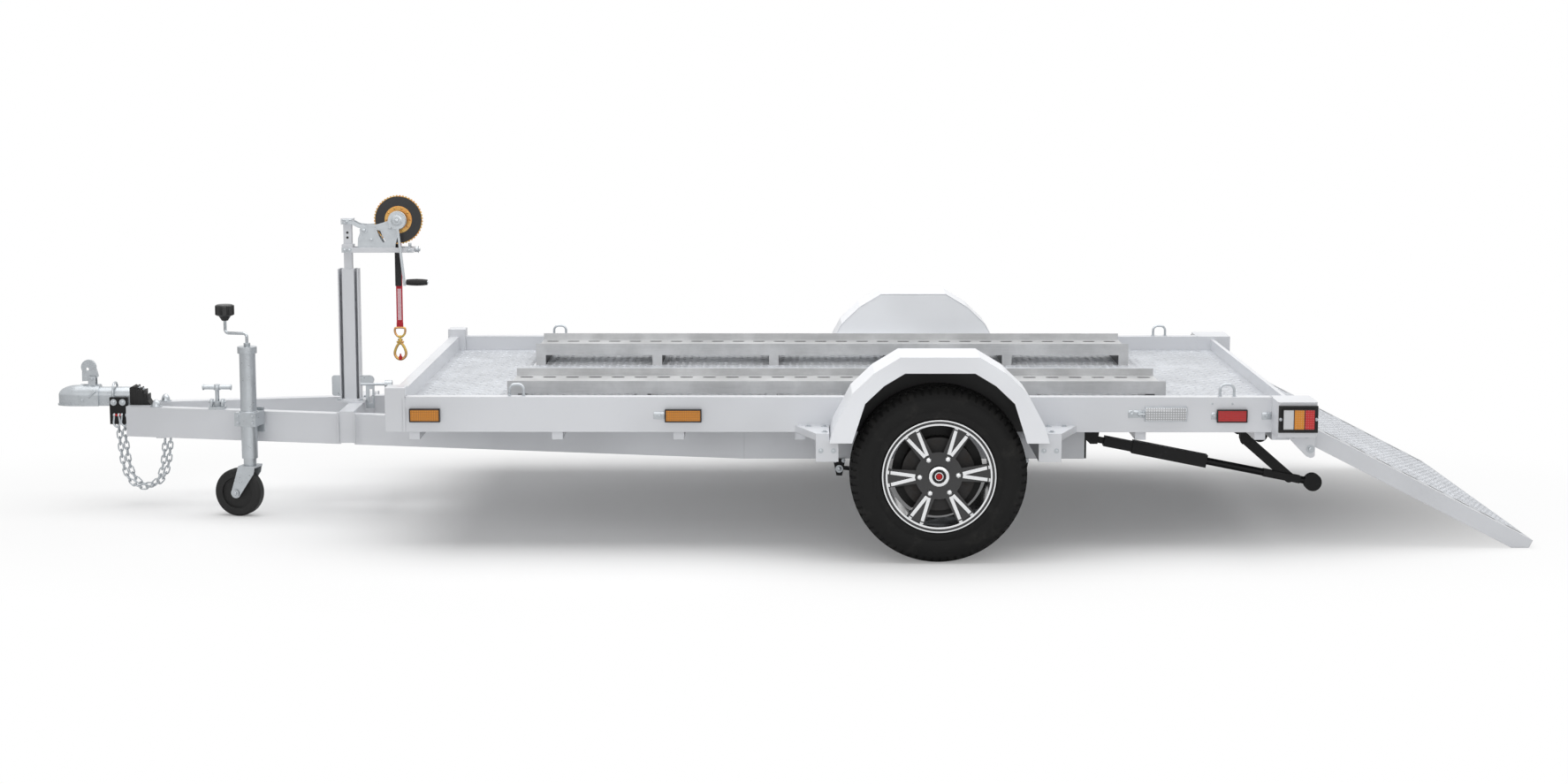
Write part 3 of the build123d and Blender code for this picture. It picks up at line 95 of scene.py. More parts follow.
class Socket:
    """One output of a node, which takes part in Python sums."""

    def __init__(self, finish, socket):
        self.finish = finish
        self.socket = socket

    def __add__(self, other):
        return self.finish.maths("ADD", self, other)

    __radd__ = __add__

    def __sub__(self, other):
        return self.finish.maths("SUBTRACT", self, other)

    def __rsub__(self, other):
        return self.finish.maths("SUBTRACT", other, self)

    def __mul__(self, other):
        return self.finish.maths("MULTIPLY", self, other)

    __rmul__ = __mul__

    def __truediv__(self, other):
        return self.finish.maths("DIVIDE", self, other)

    def __mod__(self, other):
        return self.finish.maths("FLOORED_MODULO", self, other)

    def __gt__(self, other):
        return self.finish.maths("GREATER_THAN", self, other)

    def __lt__(self, other):
        return self.finish.maths("LESS_THAN", self, other)

    def __abs__(self):
        return self.finish.maths("ABSOLUTE", self)

    def ramped(self, low, high):
        """0 below low, 1 above high and smooth between."""
        return self.finish.node(
            "MapRange",
            {"interpolation_type": "SMOOTHSTEP"},
            {"Value": self, "From Min": low, "From Max": high},
        )


class Finish:
    """A node material, built up from sums of its sockets."""

    def __init__(self, owner):
        self.material = bpy.data.materials.new(owner) if isinstance(owner, str) else owner
        self.material.use_nodes = True
        self.tree = self.material.node_tree
        self.tree.nodes.clear()

    def node(self, kind, settings=None, inputs=None, output=0):
        """Add one node, set it, feed its sockets and return one output."""
        made = self.tree.nodes.new("ShaderNode" + kind)
        for key, value in (settings or {}).items():
            setattr(made, key, value)
        for key, value in (inputs or {}).items():
            socket = made.inputs[key]
            if isinstance(value, Socket):
                self.tree.links.new(value.socket, socket)
            elif socket.type == "RGBA" and len(value) == 3:
                socket.default_value = (*value, 1.0)
            else:
                socket.default_value = value
        return Socket(self, made.outputs[output]) if made.outputs else None

    def maths(self, operation, *terms):
        """A Math node on one, two or three numbers."""
        return self.node("Math", {"operation": operation}, dict(enumerate(terms)))

    def vector(self, operation, *terms, output=0):
        """A Vector Math node."""
        return self.node("VectorMath", {"operation": operation}, dict(enumerate(terms)), output)

    def mix(self, factor, first, second):
        """A colour between two colours."""
        return self.node("Mix", {"data_type": "RGBA"}, {0: factor, 6: first, 7: second}, 2)

    def place(self):
        """The point on the piece, in metres of the piece's own frame."""
        return self.node("TexCoord", output=3)

    def facing(self):
        """The surface normal in the piece's own frame, as three numbers."""
        return self.split(self.node("TexCoord", output=1))

    def split(self, vector):
        """The three numbers of a vector."""
        first = self.node("SeparateXYZ", inputs={0: vector})
        outputs = first.socket.node.outputs
        return [Socket(self, output) for output in outputs]

    def noise(self, scale, detail=3.0, roughness=0.55, stretch=(1, 1, 1), distortion=0.0):
        """Cloudy noise from 0 to 1, in cells a metre."""
        at = self.vector("MULTIPLY", self.place(), stretch)
        return self.node(
            "TexNoise",
            None,
            {
                "Vector": at,
                "Scale": scale,
                "Detail": detail,
                "Roughness": roughness,
                "Distortion": distortion,
            },
        )

    def cells(self, scale):
        """One random colour for each cell, in cells a metre."""
        return self.node("TexVoronoi", {"feature": "F1"}, {"Vector": self.place(), "Scale": scale}, 1)

    def prisms(self, pitch):
        """A grid of small pyramids along X and Z, 0 at their edges and 1 at their tips."""
        x, y, z = self.split(self.place())
        across_x = abs((x / pitch) % 1.0 - 0.5) * 2.0
        across_z = abs((z / pitch) % 1.0 - 0.5) * 2.0
        return 1.0 - self.maths("MAXIMUM", across_x, across_z)

    def reach(self, centre):
        """The distance from an axis along Y through a centre."""
        offset = self.vector("SUBTRACT", self.place(), tuple(centre))
        return self.vector("LENGTH", self.vector("MULTIPLY", offset, (1.0, 0.0, 1.0)), output=1)

    def bump(self, height, depth, strength=1.0, normal=None):
        """A normal from a height of 0 to 1 that stands for a depth in metres."""
        inputs = {"Height": height, "Distance": depth, "Strength": strength}
        if normal is not None:
            inputs["Normal"] = normal
        return self.node("Bump", None, inputs)

    def soft_edges(self, radius):
        """A normal that rounds sharp edges by a radius in metres."""
        return self.node("Bevel", {"samples": 4}, {"Radius": radius})

    def close(self, **sockets):
        """Finish with a principled surface fed by these sockets."""
        names = {key: key.replace("_", " ").title().replace("Ior", "IOR") for key in sockets}
        shader = self.node("BsdfPrincipled", None, {names[key]: value for key, value in sockets.items()})
        self.node("OutputMaterial", None, {"Surface": shader})
        return self.material


def painted_frame(name, colour, roughness, shade_under_guard=False, shell=False):
    """Pale silver paint on steel, with faint orange peel and dust, and black painted shade on the faces under
    a guard.
    """
    finish = Finish(name)
    broad = finish.noise(1.7, 2.0)
    fine = finish.noise(160.0, 2.0)
    dust = finish.noise(9.0, 5.0, 0.65).ramped(0.52, 0.78)
    x, y, z = finish.facing()
    upward = z.ramped(0.3, 0.9)
    dark = scaled(colour, 0.93)
    light = tuple(min(part * 1.05, 1.0) for part in colour)
    base = finish.mix(broad.ramped(0.3, 0.7), dark, light)
    base = finish.mix(dust * (0.12 + 0.12 * upward), base, scaled(colour, 0.8))
    # Painted shade: a guard's faces that turn in toward the axle, and an arch plate's faces that turn out
    # from the deck, are painted black for the shade under the guard.
    if shade_under_guard:
        if shell:
            inward = (y * finish.split(finish.place())[1]) > 0.0
        else:
            px, py, pz = finish.split(finish.vector("SUBTRACT", finish.place(), tuple(AXLE)))
            inward = (x * px + z * pz) < -0.02
        base = finish.mix(inward, base, BLACK)
    rough = roughness + 0.1 * (fine - 0.5) + 0.12 * dust
    normal = finish.bump(fine, 0.00005, 0.35, finish.soft_edges(0.0022))
    return finish.close(
        base_color=base, roughness=rough, metallic=0.12, normal=normal, coat_weight=0.15, coat_roughness=0.2
    )


def bright_zinc(name, colour, roughness, spangle=0.06):
    """Electroplated steel with a faint cloudy bloom."""
    finish = Finish(name)
    cloud = finish.noise(26.0, 4.0, 0.6)
    cell = finish.cells(240.0)
    grain = finish.node("SeparateColor", None, {0: cell})
    base = finish.mix(cloud.ramped(0.3, 0.72), scaled(colour, 0.92), colour)
    base = finish.mix(grain * spangle, base, (0.8, 0.81, 0.84))
    scratch = finish.noise(90.0, 2.0, 0.5, (1.0, 1.0, 0.12))
    rough = roughness + 0.14 * (cloud - 0.5) + 0.08 * grain + 0.05 * scratch
    normal = finish.bump(scratch, 0.00004, 0.3, finish.soft_edges(0.0012))
    return finish.close(base_color=base, roughness=rough, metallic=0.72, normal=normal)


def yellow_zinc(name, colour):
    """Yellow passivated plating whose tint drifts from straw to rose."""
    finish = Finish(name)
    drift = finish.noise(34.0, 3.0, 0.5)
    rose = (colour[0] * 1.02, colour[1] * 0.86, colour[2] * 1.15)
    straw = (colour[0] * 0.95, colour[1] * 1.06, colour[2] * 0.85)
    base = finish.mix(drift.ramped(0.35, 0.65), rose, straw)
    rough = 0.27 + 0.12 * finish.noise(120.0)
    return finish.close(
        base_color=base, roughness=rough, metallic=0.95, normal=finish.soft_edges(0.0008)
    )


def black_paint(name, colour, roughness):
    """Black paint with slight runs and a worn grey at its edges."""
    finish = Finish(name)
    cloud = finish.noise(40.0, 4.0, 0.6)
    worn = finish.noise(11.0, 6.0, 0.7).ramped(0.62, 0.8)
    base = finish.mix(worn * 0.35, colour, (0.09, 0.09, 0.09))
    rough = roughness + 0.2 * (cloud - 0.5)
    normal = finish.bump(cloud, 0.0001, 0.4, finish.soft_edges(0.0012))
    return finish.close(base_color=base, roughness=rough, normal=normal, specular_ior_level=0.25)


def mill_metal(name, colour, roughness):
    """Rolled metal as it leaves the mill, with lines along its length, near-black painted shade on the
    upright faces low inside the track, and painted light on the faces that point down.
    """
    finish = Finish(name)
    lines = finish.noise(210.0, 3.0, 0.6, (0.04, 1.0, 1.0))
    stain = finish.noise(5.0, 5.0, 0.62)
    base = finish.mix(stain.ramped(0.35, 0.7), scaled(colour, 0.72), colour)
    base = finish.mix(0.25 * lines, base, (0.8, 0.8, 0.81))
    x, y, z = finish.split(finish.place())
    nx, ny, nz = finish.facing()
    # Painted shade: the cut mask below takes the upright faces inside the track, below its top, and paints
    # them near black and less metallic for the shade within the track.
    inner = (abs(y) > 0.402) * (abs(y) < 0.748)
    cut = (finish.maths("MAXIMUM", abs(nx), abs(ny)) > 0.6) * inner * (z < 0.5815)
    base = finish.mix(cut * 0.94, base, (0.015, 0.015, 0.016))
    # Painted light: faces that point down are painted pale in place of the shade under the track.
    base = finish.mix((nz < -0.5) * 0.8, base, (0.9, 0.91, 0.92))
    rough = roughness + 0.18 * (lines - 0.5) + 0.1 * stain
    normal = finish.bump(lines, 0.00005, 0.4, finish.soft_edges(0.001))
    return finish.close(base_color=base, roughness=rough, metallic=0.55 - 0.5 * cut, normal=normal)


def tread_metal(name, colour):
    """Rolled aluminium tread plate with stains, scuffs and ripples, painted light on the deck under the wheel
    tracks, and near-black painted shade on the faces that point along Y, such as the ramp's slot walls.
    """
    finish = Finish(name)
    stain = finish.noise(4.0, 5.0, 0.65)
    scuff = finish.noise(60.0, 4.0, 0.7, (0.3, 1.0, 1.0))
    base = finish.mix(stain.ramped(0.3, 0.75), scaled(colour, 0.8), colour)
    base = finish.mix(scuff.ramped(0.6, 0.8) * 0.4, base, (0.82, 0.83, 0.86))
    ripple = finish.noise(38.0, 2.0, 0.6, (1.0, 0.45, 1.0), 0.6)
    base = finish.mix(ripple.ramped(0.5, 0.62) * 0.3, base, scaled(colour, 0.55))
    nx, ny, nz = finish.facing()
    x, y, z = finish.split(finish.place())
    # Painted light: the deck under the wheel tracks is painted pale in place of the shade that the tracks
    # cast on it.
    painted_light_under_tracks = (abs(y) > 0.385) * (abs(y) < 0.765)
    covered = painted_light_under_tracks * (x > at(-1610.0, 0, 0).x) * (x < at(880.0, 0, 0).x)
    base = finish.mix(covered * 0.85, base, (0.93, 0.94, 0.96))
    # Painted shade: the cut mask below takes the faces that point along Y, such as the ramp's slot walls, and
    # paints them near black for the shade inside the slots.
    cut = abs(ny) > 0.97
    base = finish.mix(cut * 0.9, base, (0.03, 0.03, 0.032))
    rough = 0.34 + 0.2 * scuff
    normal = finish.bump(scuff, 0.00008, 0.4)
    return finish.close(base_color=base, roughness=rough, metallic=0.3, normal=normal)


def tyre_rubber(name, colour):
    """Matt rubber with a fine grain and dusty grooves."""
    finish = Finish(name)
    grain = finish.noise(900.0, 2.0)
    dust = finish.noise(14.0, 4.0, 0.6).ramped(0.5, 0.8)
    base = finish.mix(dust * 0.35, colour, (0.06, 0.058, 0.054))
    rough = 0.62 + 0.16 * dust + 0.08 * grain
    normal = finish.bump(grain, 0.0001, 0.25)
    return finish.close(base_color=base, roughness=rough, normal=normal, specular_ior_level=0.16)


def moulded_plastic(name, colour, roughness, grain=500.0):
    """Moulded plastic or rubber with a fine leathery grain."""
    finish = Finish(name)
    pits = finish.noise(grain, 3.0)
    broad = finish.noise(20.0, 2.0)
    base = finish.mix(broad.ramped(0.3, 0.7), scaled(colour, 0.85), colour)
    rough = roughness + 0.12 * (pits - 0.5)
    normal = finish.bump(pits, 0.00008, 0.3, finish.soft_edges(0.001))
    return finish.close(base_color=base, roughness=rough, normal=normal, specular_ior_level=0.25)


def lamp_lens(name, colour, pitch, glint_lift=1.25):
    """Clear plastic over a grid of small prisms, with painted highlights on the prism tips and painted shade
    at their edges.
    """
    finish = Finish(name)
    prism = finish.prisms(pitch)
    # Painted highlight and shade: each prism is painted lighter at its tip and darker at its edges.
    light = tuple(min(part * glint_lift, 1.0) for part in colour)
    base = finish.mix(prism.ramped(0.0, 0.9), scaled(colour, 0.55), light)
    normal = finish.bump(prism, 0.0006, 0.35)
    return finish.close(
        base_color=base, roughness=0.16, normal=normal, coat_weight=0.6, coat_roughness=0.04
    )


def machined_alloy(name, black, silver, face_depth):
    """Gloss black alloy whose outermost faces are turned bright."""
    finish = Finish(name)
    x, y, z = finish.split(finish.place())
    nx, ny, nz = finish.facing()
    outward = abs(ny) > 0.86
    proud = abs(y) > abs(AXLE.y) + 0.1 - face_depth
    radius = finish.reach(AXLE)
    lip = (radius > 0.2012) + (radius < 0.1925)
    bright = outward * proud * lip
    rings = finish.node(
        "TexWave",
        {"wave_type": "RINGS", "rings_direction": "Y", "bands_direction": "X"},
        {"Vector": finish.vector("SUBTRACT", finish.place(), tuple(AXLE)), "Scale": 260.0},
        1,
    )
    base = finish.mix(bright, black, silver)
    rough = finish.maths("MULTIPLY_ADD", bright, 0.1, 0.2) + 0.05 * rings * bright
    return finish.close(
        base_color=base,
        roughness=rough,
        metallic=bright * 0.9,
        normal=finish.soft_edges(0.0015),
        coat_weight=0.5,
        coat_roughness=0.05,
    )


def woven_strap(name, colour, label=False):
    """Tight polyester webbing with ribs across it and bound edges."""
    finish = Finish(name)
    x, y, z = finish.split(finish.place())
    rib = finish.maths("SINE", z * (2 * math.pi / 0.0022)) * 0.5 + 0.5
    yarn = finish.maths("SINE", x * (2 * math.pi / 0.0016)) * 0.5 + 0.5
    weave = rib * yarn
    fuzz = finish.noise(700.0, 2.0)
    base = finish.mix(weave.ramped(0.1, 0.8), scaled(colour, 0.7), colour)
    base = finish.mix(fuzz * 0.2, base, tuple(min(1.0, part * 1.4 + 0.01) for part in colour))
    if label:
        hook = at(-2109.0, 0, 0).x
        panel = (abs(x - hook) < 0.0075) * (z > 0.752) * (z < 0.878)
        base = finish.mix(panel * 0.75, base, (0.78, 0.62, 0.66))
    normal = finish.bump(weave, 0.0005, 0.5)
    return finish.close(
        base_color=base, roughness=0.82 + 0.1 * fuzz, normal=normal, sheen_weight=0.2
    )


def sectioned_lens(name, clear, amber, red, first, second):
    """A rear lamp in three sections along X, over small prisms with painted highlights on their tips."""
    finish = Finish(name)
    x, y, z = finish.split(finish.place())
    prism = finish.prisms(0.0085)
    base = finish.mix(x > first, clear, amber)
    base = finish.mix(x > second, base, red)
    # Painted highlight: the prism tips are painted a little paler.
    base = finish.mix(prism.ramped(0.3, 0.9) * 0.12, base, (0.9, 0.88, 0.86))
    seam = (abs(x - first) < 0.001) + (abs(x - second) < 0.001)
    base = finish.mix(seam * 0.7, base, (0.1, 0.02, 0.02))
    return finish.close(
        base_color=base,
        roughness=0.16,
        normal=finish.bump(prism, 0.0006, 0.3),
        coat_weight=0.6,
        coat_roughness=0.04,
    )


def winch_wheel(name, axis, gold, black, inner, cover):
    """The winch's gear: yellow zinc teeth and centre round a black cover."""
    finish = Finish(name)
    radius = finish.reach(axis)
    covered = (radius > inner) * (radius < cover)
    drift = finish.noise(40.0, 3.0, 0.5)
    wear = finish.noise(70.0, 5.0, 0.65)
    copper = (gold[0] * 1.1, gold[1] * 0.8, gold[2] * 0.7)
    plated = finish.mix(drift.ramped(0.35, 0.65), gold, copper)
    painted = finish.mix(wear.ramped(0.62, 0.8) * 0.4, black, (0.1, 0.1, 0.1))
    turned_line = finish.maths("SINE", radius * 3400.0) * 0.5 + 0.5
    return finish.close(
        base_color=finish.mix(covered, plated, painted),
        metallic=0.92 - 0.9 * covered,
        roughness=0.3 + 0.12 * wear,
        normal=finish.bump(turned_line, 0.00006, 0.4, finish.soft_edges(0.0008)),
    )


def two_part(name, low, high, split, rough):
    """One finish below a height and another above it, as on a steel crank with a moulded knob."""
    finish = Finish(name)
    above = finish.split(finish.place())[2] > split
    cloud = finish.noise(60.0, 4.0, 0.6)
    steel = finish.mix(cloud.ramped(0.3, 0.7), scaled(low, 0.8), low)
    return finish.close(
        base_color=finish.mix(above, steel, high),
        metallic=0.85 - 0.85 * above,
        roughness=rough + 0.15 * (cloud - 0.5) + 0.1 * above,
        normal=finish.bump(cloud, 0.00005, 0.3, finish.soft_edges(0.001)),
    )


def cast_iron(name, colour):
    """Machined drum iron with turning lines round the axle and rust bloom."""
    finish = Finish(name)
    radius = finish.reach(AXLE)
    line = finish.maths("SINE", radius * 2600.0) * 0.5 + 0.5
    bloom = finish.noise(22.0, 5.0, 0.65)
    rust = (colour[0] * 0.8, colour[1] * 0.62, colour[2] * 0.5)
    base = finish.mix(bloom.ramped(0.45, 0.8), colour, rust)
    return finish.close(
        base_color=base,
        metallic=0.55,
        roughness=0.42 + 0.2 * bloom,
        normal=finish.bump(line, 0.0001, 0.4, finish.soft_edges(0.001)),
    )


MATERIALS = {}
BLACK = (0.012, 0.012, 0.013)
CLEAR = (0.62, 0.63, 0.65)
GEAR_AXIS = at(-2105.0, 0.0, 1157.0)


def material(name):
    """A finish by its name, made on first use."""
    if name in MATERIALS:
        return MATERIALS[name]
    colours = bpy.context.scene.trailer_colours
    zinc = tuple(colours.zinc)
    gold = tuple(colours.gold_zinc)
    amber = tuple(colours.amber)
    red = tuple(colours.red)
    first = at(1291.0, 0.0, 0.0).x
    second = at(1328.0, 0.0, 0.0).x
    makers = {
        "frame_paint": (painted_frame, tuple(colours.frame_paint), 0.33),
        "zinc": (bright_zinc, zinc, 0.26),
        "chrome": (bright_zinc, (0.86, 0.87, 0.88), 0.12, 0.02),
        "gold_zinc": (yellow_zinc, gold),
        "black_steel": (black_paint, tuple(colours.black_steel), 0.42),
        "track_metal": (mill_metal, tuple(colours.track_metal), 0.36),
        "tread_plate": (tread_metal, tuple(colours.tread_plate)),
        "tyre": (tyre_rubber, tuple(colours.tyre)),
        "rubber": (moulded_plastic, (0.022, 0.022, 0.022), 0.6),
        "black_plastic": (moulded_plastic, (0.018, 0.018, 0.018), 0.38, 900.0),
        "red_plastic": (moulded_plastic, (0.5, 0.012, 0.014), 0.35, 900.0),
        "amber_lens": (lamp_lens, amber, 0.0062),
        "red_lens": (lamp_lens, red, 0.0062),
        "clear_lens": (lamp_lens, CLEAR, 0.009, 1.3),
        "rear_lens": (sectioned_lens, CLEAR, amber, red, first, second),
        "alloy": (machined_alloy, BLACK, (0.78, 0.79, 0.80), 0.0145),
        "winch_wheel": (winch_wheel, tuple(GEAR_AXIS), gold, BLACK, 0.0545, 0.0925),
        "jockey_handle": (two_part, zinc, (0.018, 0.018, 0.018), 0.7955, 0.25),
        "cast_iron": (cast_iron, (0.028, 0.027, 0.027)),
        "liner": (painted_frame, linear(238, 240, 243), 0.4, True, True),
        "guard_paint": (painted_frame, linear(236, 238, 242), 0.3, True),
        "red_webbing": (woven_strap, tuple(colours.webbing), True),
        "black_webbing": (woven_strap, (0.02, 0.02, 0.021)),
    }
    make, *looks = makers[name]
    MATERIALS[name] = make(name, *looks)
    return MATERIALS[name]


OWN_FINISH = {
    "winch_drum": "winch_wheel",
    "winch_crank": "zinc",
    "jockey_crank": "jockey_handle",
    "mudguards": "guard_paint",
    "leg_brackets": "black_steel",
    "hub_left": "cast_iron",
    "hub_right": "cast_iron",
    "tail_lenses": "rear_lens",
}


def dress(node, name):
    """Give a CAD node its finish."""
    made = frame["nodes"][node]
    made.data.materials.clear()
    made.data.materials.append(material(name))


def as_mesh(name, bm):
    """A mesh of all that a bmesh holds, which is freed."""
    mesh = bpy.data.meshes.new(name)
    bm.to_mesh(mesh)
    bm.free()
    return mesh


def grown(made):
    """The vertices among what a bmesh operator made."""
    return [v for v in made["geom"] if isinstance(v, bmesh.types.BMVert)]


def finished(name, bm, finish, body, node=(), smooth=40.0):
    """Turn a bmesh into a piece on its CAD body."""
    mesh = as_mesh(name, bm)
    piece = bpy.data.objects.new(name, mesh)
    bpy.context.scene.collection.objects.link(piece)
    mesh.materials.append(material(finish))
    if smooth:
        mesh.polygons.foreach_set("use_smooth", [True] * len(mesh.polygons))
        mesh.set_sharp_from_angle(angle=math.radians(smooth))
    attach(piece, body)
    if node:
        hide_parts(*node)
    return piece


def turned(bm, outline, steps, axis=(0, 1, 0)):
    """A closed outline of (radius, height) points spun round an axis through the origin."""
    up = Vector(axis)
    corners = [bm.verts.new(Vector((radius, 0, 0)) + up * height) for radius, height in outline]
    edges = [bm.edges.new((corners[i - 1], corners[i])) for i in range(len(corners))]
    bmesh.ops.spin(
        bm, geom=corners + edges, axis=axis, cent=(0, 0, 0), angle=2 * math.pi, steps=steps, use_merge=True
    )
    bmesh.ops.recalc_face_normals(bm, faces=bm.faces)


def block(bm, low, high, edge=0.0, segments=2):
    """A box between two corners, its edges rounded."""
    verts = bmesh.ops.create_cube(bm, size=1.0)["verts"]
    bmesh.ops.scale(bm, vec=high - low, verts=verts)
    bmesh.ops.translate(bm, vec=(low + high) / 2, verts=verts)
    if edge:
        edges = list({e for v in verts for e in v.link_edges})
        bmesh.ops.bevel(
            bm, geom=edges, offset=edge, segments=segments, profile=0.5, affect="EDGES", material=-1
        )


def slab(bm, x0, x1, y0, y1, z0, z1, edge):
    """A box in millimetres, its limits along Y in either order."""
    low, high = sorted((y0, y1))
    block(bm, at(x0, low, z0), at(x1, high, z1), edge)


def bar(bm, start, end, radius, sides=20, tip=None, edge=0.0):
    """A round bar or hexagon between two points."""
    axis = end - start
    turn = axis.to_track_quat("Z", "Y").to_matrix().to_4x4()
    verts = bmesh.ops.create_cone(
        bm,
        cap_ends=True,
        segments=sides,
        radius1=radius,
        radius2=radius if tip is None else tip,
        depth=axis.length,
        matrix=Matrix.Translation((start + end) / 2) @ turn,
    )["verts"]
    if edge:
        edges = {e for v in verts for e in v.link_edges}
        rims = [e for e in edges if any(len(f.verts) > 4 for f in e.link_faces)]
        bmesh.ops.bevel(bm, geom=rims, offset=edge, segments=2, profile=0.5, affect="EDGES", material=-1)


def bolt(bm, place, axis, radius=0.0065):
    """A hexagon head on a round washer."""
    axis = Vector(axis).normalized()
    seat = place + axis * 0.0016
    bar(bm, place, seat, radius * 1.75, 20)
    bar(bm, seat, seat + axis * radius * 0.75, radius, 6, radius * 0.95, radius * 0.08)


def dome(bm, place, axis, radius, height):
    """A round-headed bolt or cap."""
    axis = Vector(axis).normalized()
    turn = axis.to_track_quat("Z", "Y").to_matrix().to_4x4()
    size = Matrix.Diagonal((radius, radius, height, 1.0))
    verts = bmesh.ops.create_uvsphere(
        bm, u_segments=16, v_segments=8, radius=1.0, matrix=Matrix.Translation(place) @ turn @ size
    )["verts"]
    below = [v for v in verts if (v.co - place).dot(axis) < -0.0001]
    bmesh.ops.delete(bm, geom=below, context="VERTS")


def curved(points, resolution, radius=0.0, closed=False):
    """A mesh of the smooth line along a few points, as a round wire where it has a radius."""
    line = bpy.data.curves.new("line", "CURVE")
    line.dimensions = "3D"
    line.bevel_depth = radius
    line.bevel_resolution = 3
    line.resolution_u = resolution
    line.use_fill_caps = not closed
    spline = line.splines.new("NURBS")
    spline.points.add(len(points) - 1)
    for made, point in zip(spline.points, points):
        made.co = (*point, 1.0)
    spline.use_cyclic_u = closed
    spline.order_u = 3
    spline.use_endpoint_u = not closed
    holder = bpy.data.objects.new("line", line)
    mesh = bpy.data.meshes.new_from_object(holder)
    bpy.data.objects.remove(holder)
    bpy.data.curves.remove(line)
    return mesh


def wire(bm, points, radius, closed=False):
    """A bent round wire along a smooth line through a few points."""
    mesh = curved(points, 6, radius, closed)
    bm.from_mesh(mesh)
    bpy.data.meshes.remove(mesh)


def route(points):
    """The points along the smooth line that a cord or strap follows."""
    mesh = curved(points, 8)
    places = [v.co.copy() for v in mesh.vertices]
    bpy.data.meshes.remove(mesh)
    return places


def band(bm, places, width, thickness):
    """Flat webbing along a row of points, its width along X."""
    start = places[0]
    low = start + Vector((-width / 2, -thickness / 2, 0))
    corners = [
        bm.verts.new(low + Vector((dx, dy, 0)))
        for dx, dy in (
            (thickness * 0.4, 0),
            (width - thickness * 0.4, 0),
            (width, thickness * 0.5),
            (width - thickness * 0.4, thickness),
            (thickness * 0.4, thickness),
            (0, thickness * 0.5),
        )
    ]
    face = bm.faces.new(corners)
    for here, there in zip(places, places[1:]):
        made = bmesh.ops.extrude_face_region(bm, geom=[face])
        verts = grown(made)
        bmesh.ops.translate(bm, vec=there - here, verts=verts)
        if here != start:
            bmesh.ops.delete(bm, geom=[face], context="FACES_ONLY")
        face = [f for f in made["geom"] if isinstance(f, bmesh.types.BMFace)][0]
    bmesh.ops.remove_doubles(bm, verts=bm.verts, dist=0.00001)
    bmesh.ops.recalc_face_normals(bm, faces=bm.faces)


def tiled(bm, step, count):
    """Repeat all that a bmesh holds along a step, count times in all."""
    base = bm.verts[:] + bm.edges[:] + bm.faces[:]
    for i in range(1, count):
        made = bmesh.ops.duplicate(bm, geom=base)
        verts = grown(made)
        bmesh.ops.translate(bm, vec=Vector(step) * i, verts=verts)


def tread_tile(bm, pitch, rise):
    """Four raised bars of tread plate, each turned a quarter from its neighbours."""
    for column in range(2):
        for row in range(2):
            turn = math.radians(45 if (column + row) % 2 else -45)
            made = bmesh.ops.create_cone(
                bm, cap_ends=True, segments=6, radius1=1.0, radius2=0.62, depth=rise,
                matrix=Matrix.Translation((pitch * column, pitch * row, rise / 2))
                @ Matrix.Rotation(turn, 4, "Z")
                @ Matrix.Diagonal((pitch * 0.46, pitch * 0.13, 1.0, 1.0)),
            )
            faces = {f for v in made["verts"] for f in v.link_faces}
            under = [f for f in faces if f.calc_center_median().z < rise / 4]
            bmesh.ops.delete(bm, geom=under, context="FACES_ONLY")


def tread_field(length, width, sizes):
    """Tread bars over a plate whose middle is at the origin."""
    bm = bmesh.new()
    pitch = sizes.pitch
    tread_tile(bm, pitch, sizes.rise)
    columns = int((length - pitch) // (2 * pitch))
    rows = int((width - pitch) // (2 * pitch))
    tiled(bm, (0, 2 * pitch, 0), rows)
    tiled(bm, (2 * pitch, 0, 0), columns)
    shift = Vector((-(2 * columns - 1) * pitch / 2, -(2 * rows - 1) * pitch / 2, 0))
    bmesh.ops.translate(bm, vec=shift, verts=bm.verts)
    return bm


class TrailerColours(bpy.types.PropertyGroup):
    """The paint, plating and plastic colours."""

    frame_paint: bpy.props.FloatVectorProperty(
        name="Frame paint", description="Colour of the rails, beams and guards", subtype="COLOR", size=3,
        min=0, max=1, default=linear(213, 215, 219),
    )
    zinc: bpy.props.FloatVectorProperty(
        name="Bright zinc", description="Colour of the plated fittings", subtype="COLOR", size=3,
        min=0, max=1, default=linear(188, 193, 197),
    )
    gold_zinc: bpy.props.FloatVectorProperty(
        name="Yellow zinc", description="Colour of the winch gears and the hook", subtype="COLOR", size=3,
        min=0, max=1, default=linear(196, 160, 96),
    )
    black_steel: bpy.props.FloatVectorProperty(
        name="Black steel", description="Colour of the running gear and drop legs", subtype="COLOR", size=3,
        min=0, max=1, default=linear(17, 17, 18),
    )
    track_metal: bpy.props.FloatVectorProperty(
        name="Track metal", description="Colour of the wheel tracks", subtype="COLOR", size=3,
        min=0, max=1, default=linear(190, 191, 192),
    )
    tread_plate: bpy.props.FloatVectorProperty(
        name="Tread plate", description="Colour of the deck and ramp plates", subtype="COLOR", size=3,
        min=0, max=1, default=linear(200, 203, 208),
    )
    tyre: bpy.props.FloatVectorProperty(
        name="Tyre", description="Colour of the tyre rubber", subtype="COLOR", size=3,
        min=0, max=1, default=linear(26, 26, 26),
    )
    amber: bpy.props.FloatVectorProperty(
        name="Amber lens", description="Colour of the side reflectors", subtype="COLOR", size=3,
        min=0, max=1, default=linear(214, 134, 4),
    )
    red: bpy.props.FloatVectorProperty(
        name="Red lens", description="Colour of the rear lenses", subtype="COLOR", size=3,
        min=0, max=1, default=linear(196, 8, 11),
    )
    webbing: bpy.props.FloatVectorProperty(
        name="Webbing", description="Colour of the winch strap", subtype="COLOR", size=3,
        min=0, max=1, default=linear(196, 40, 56),
    )


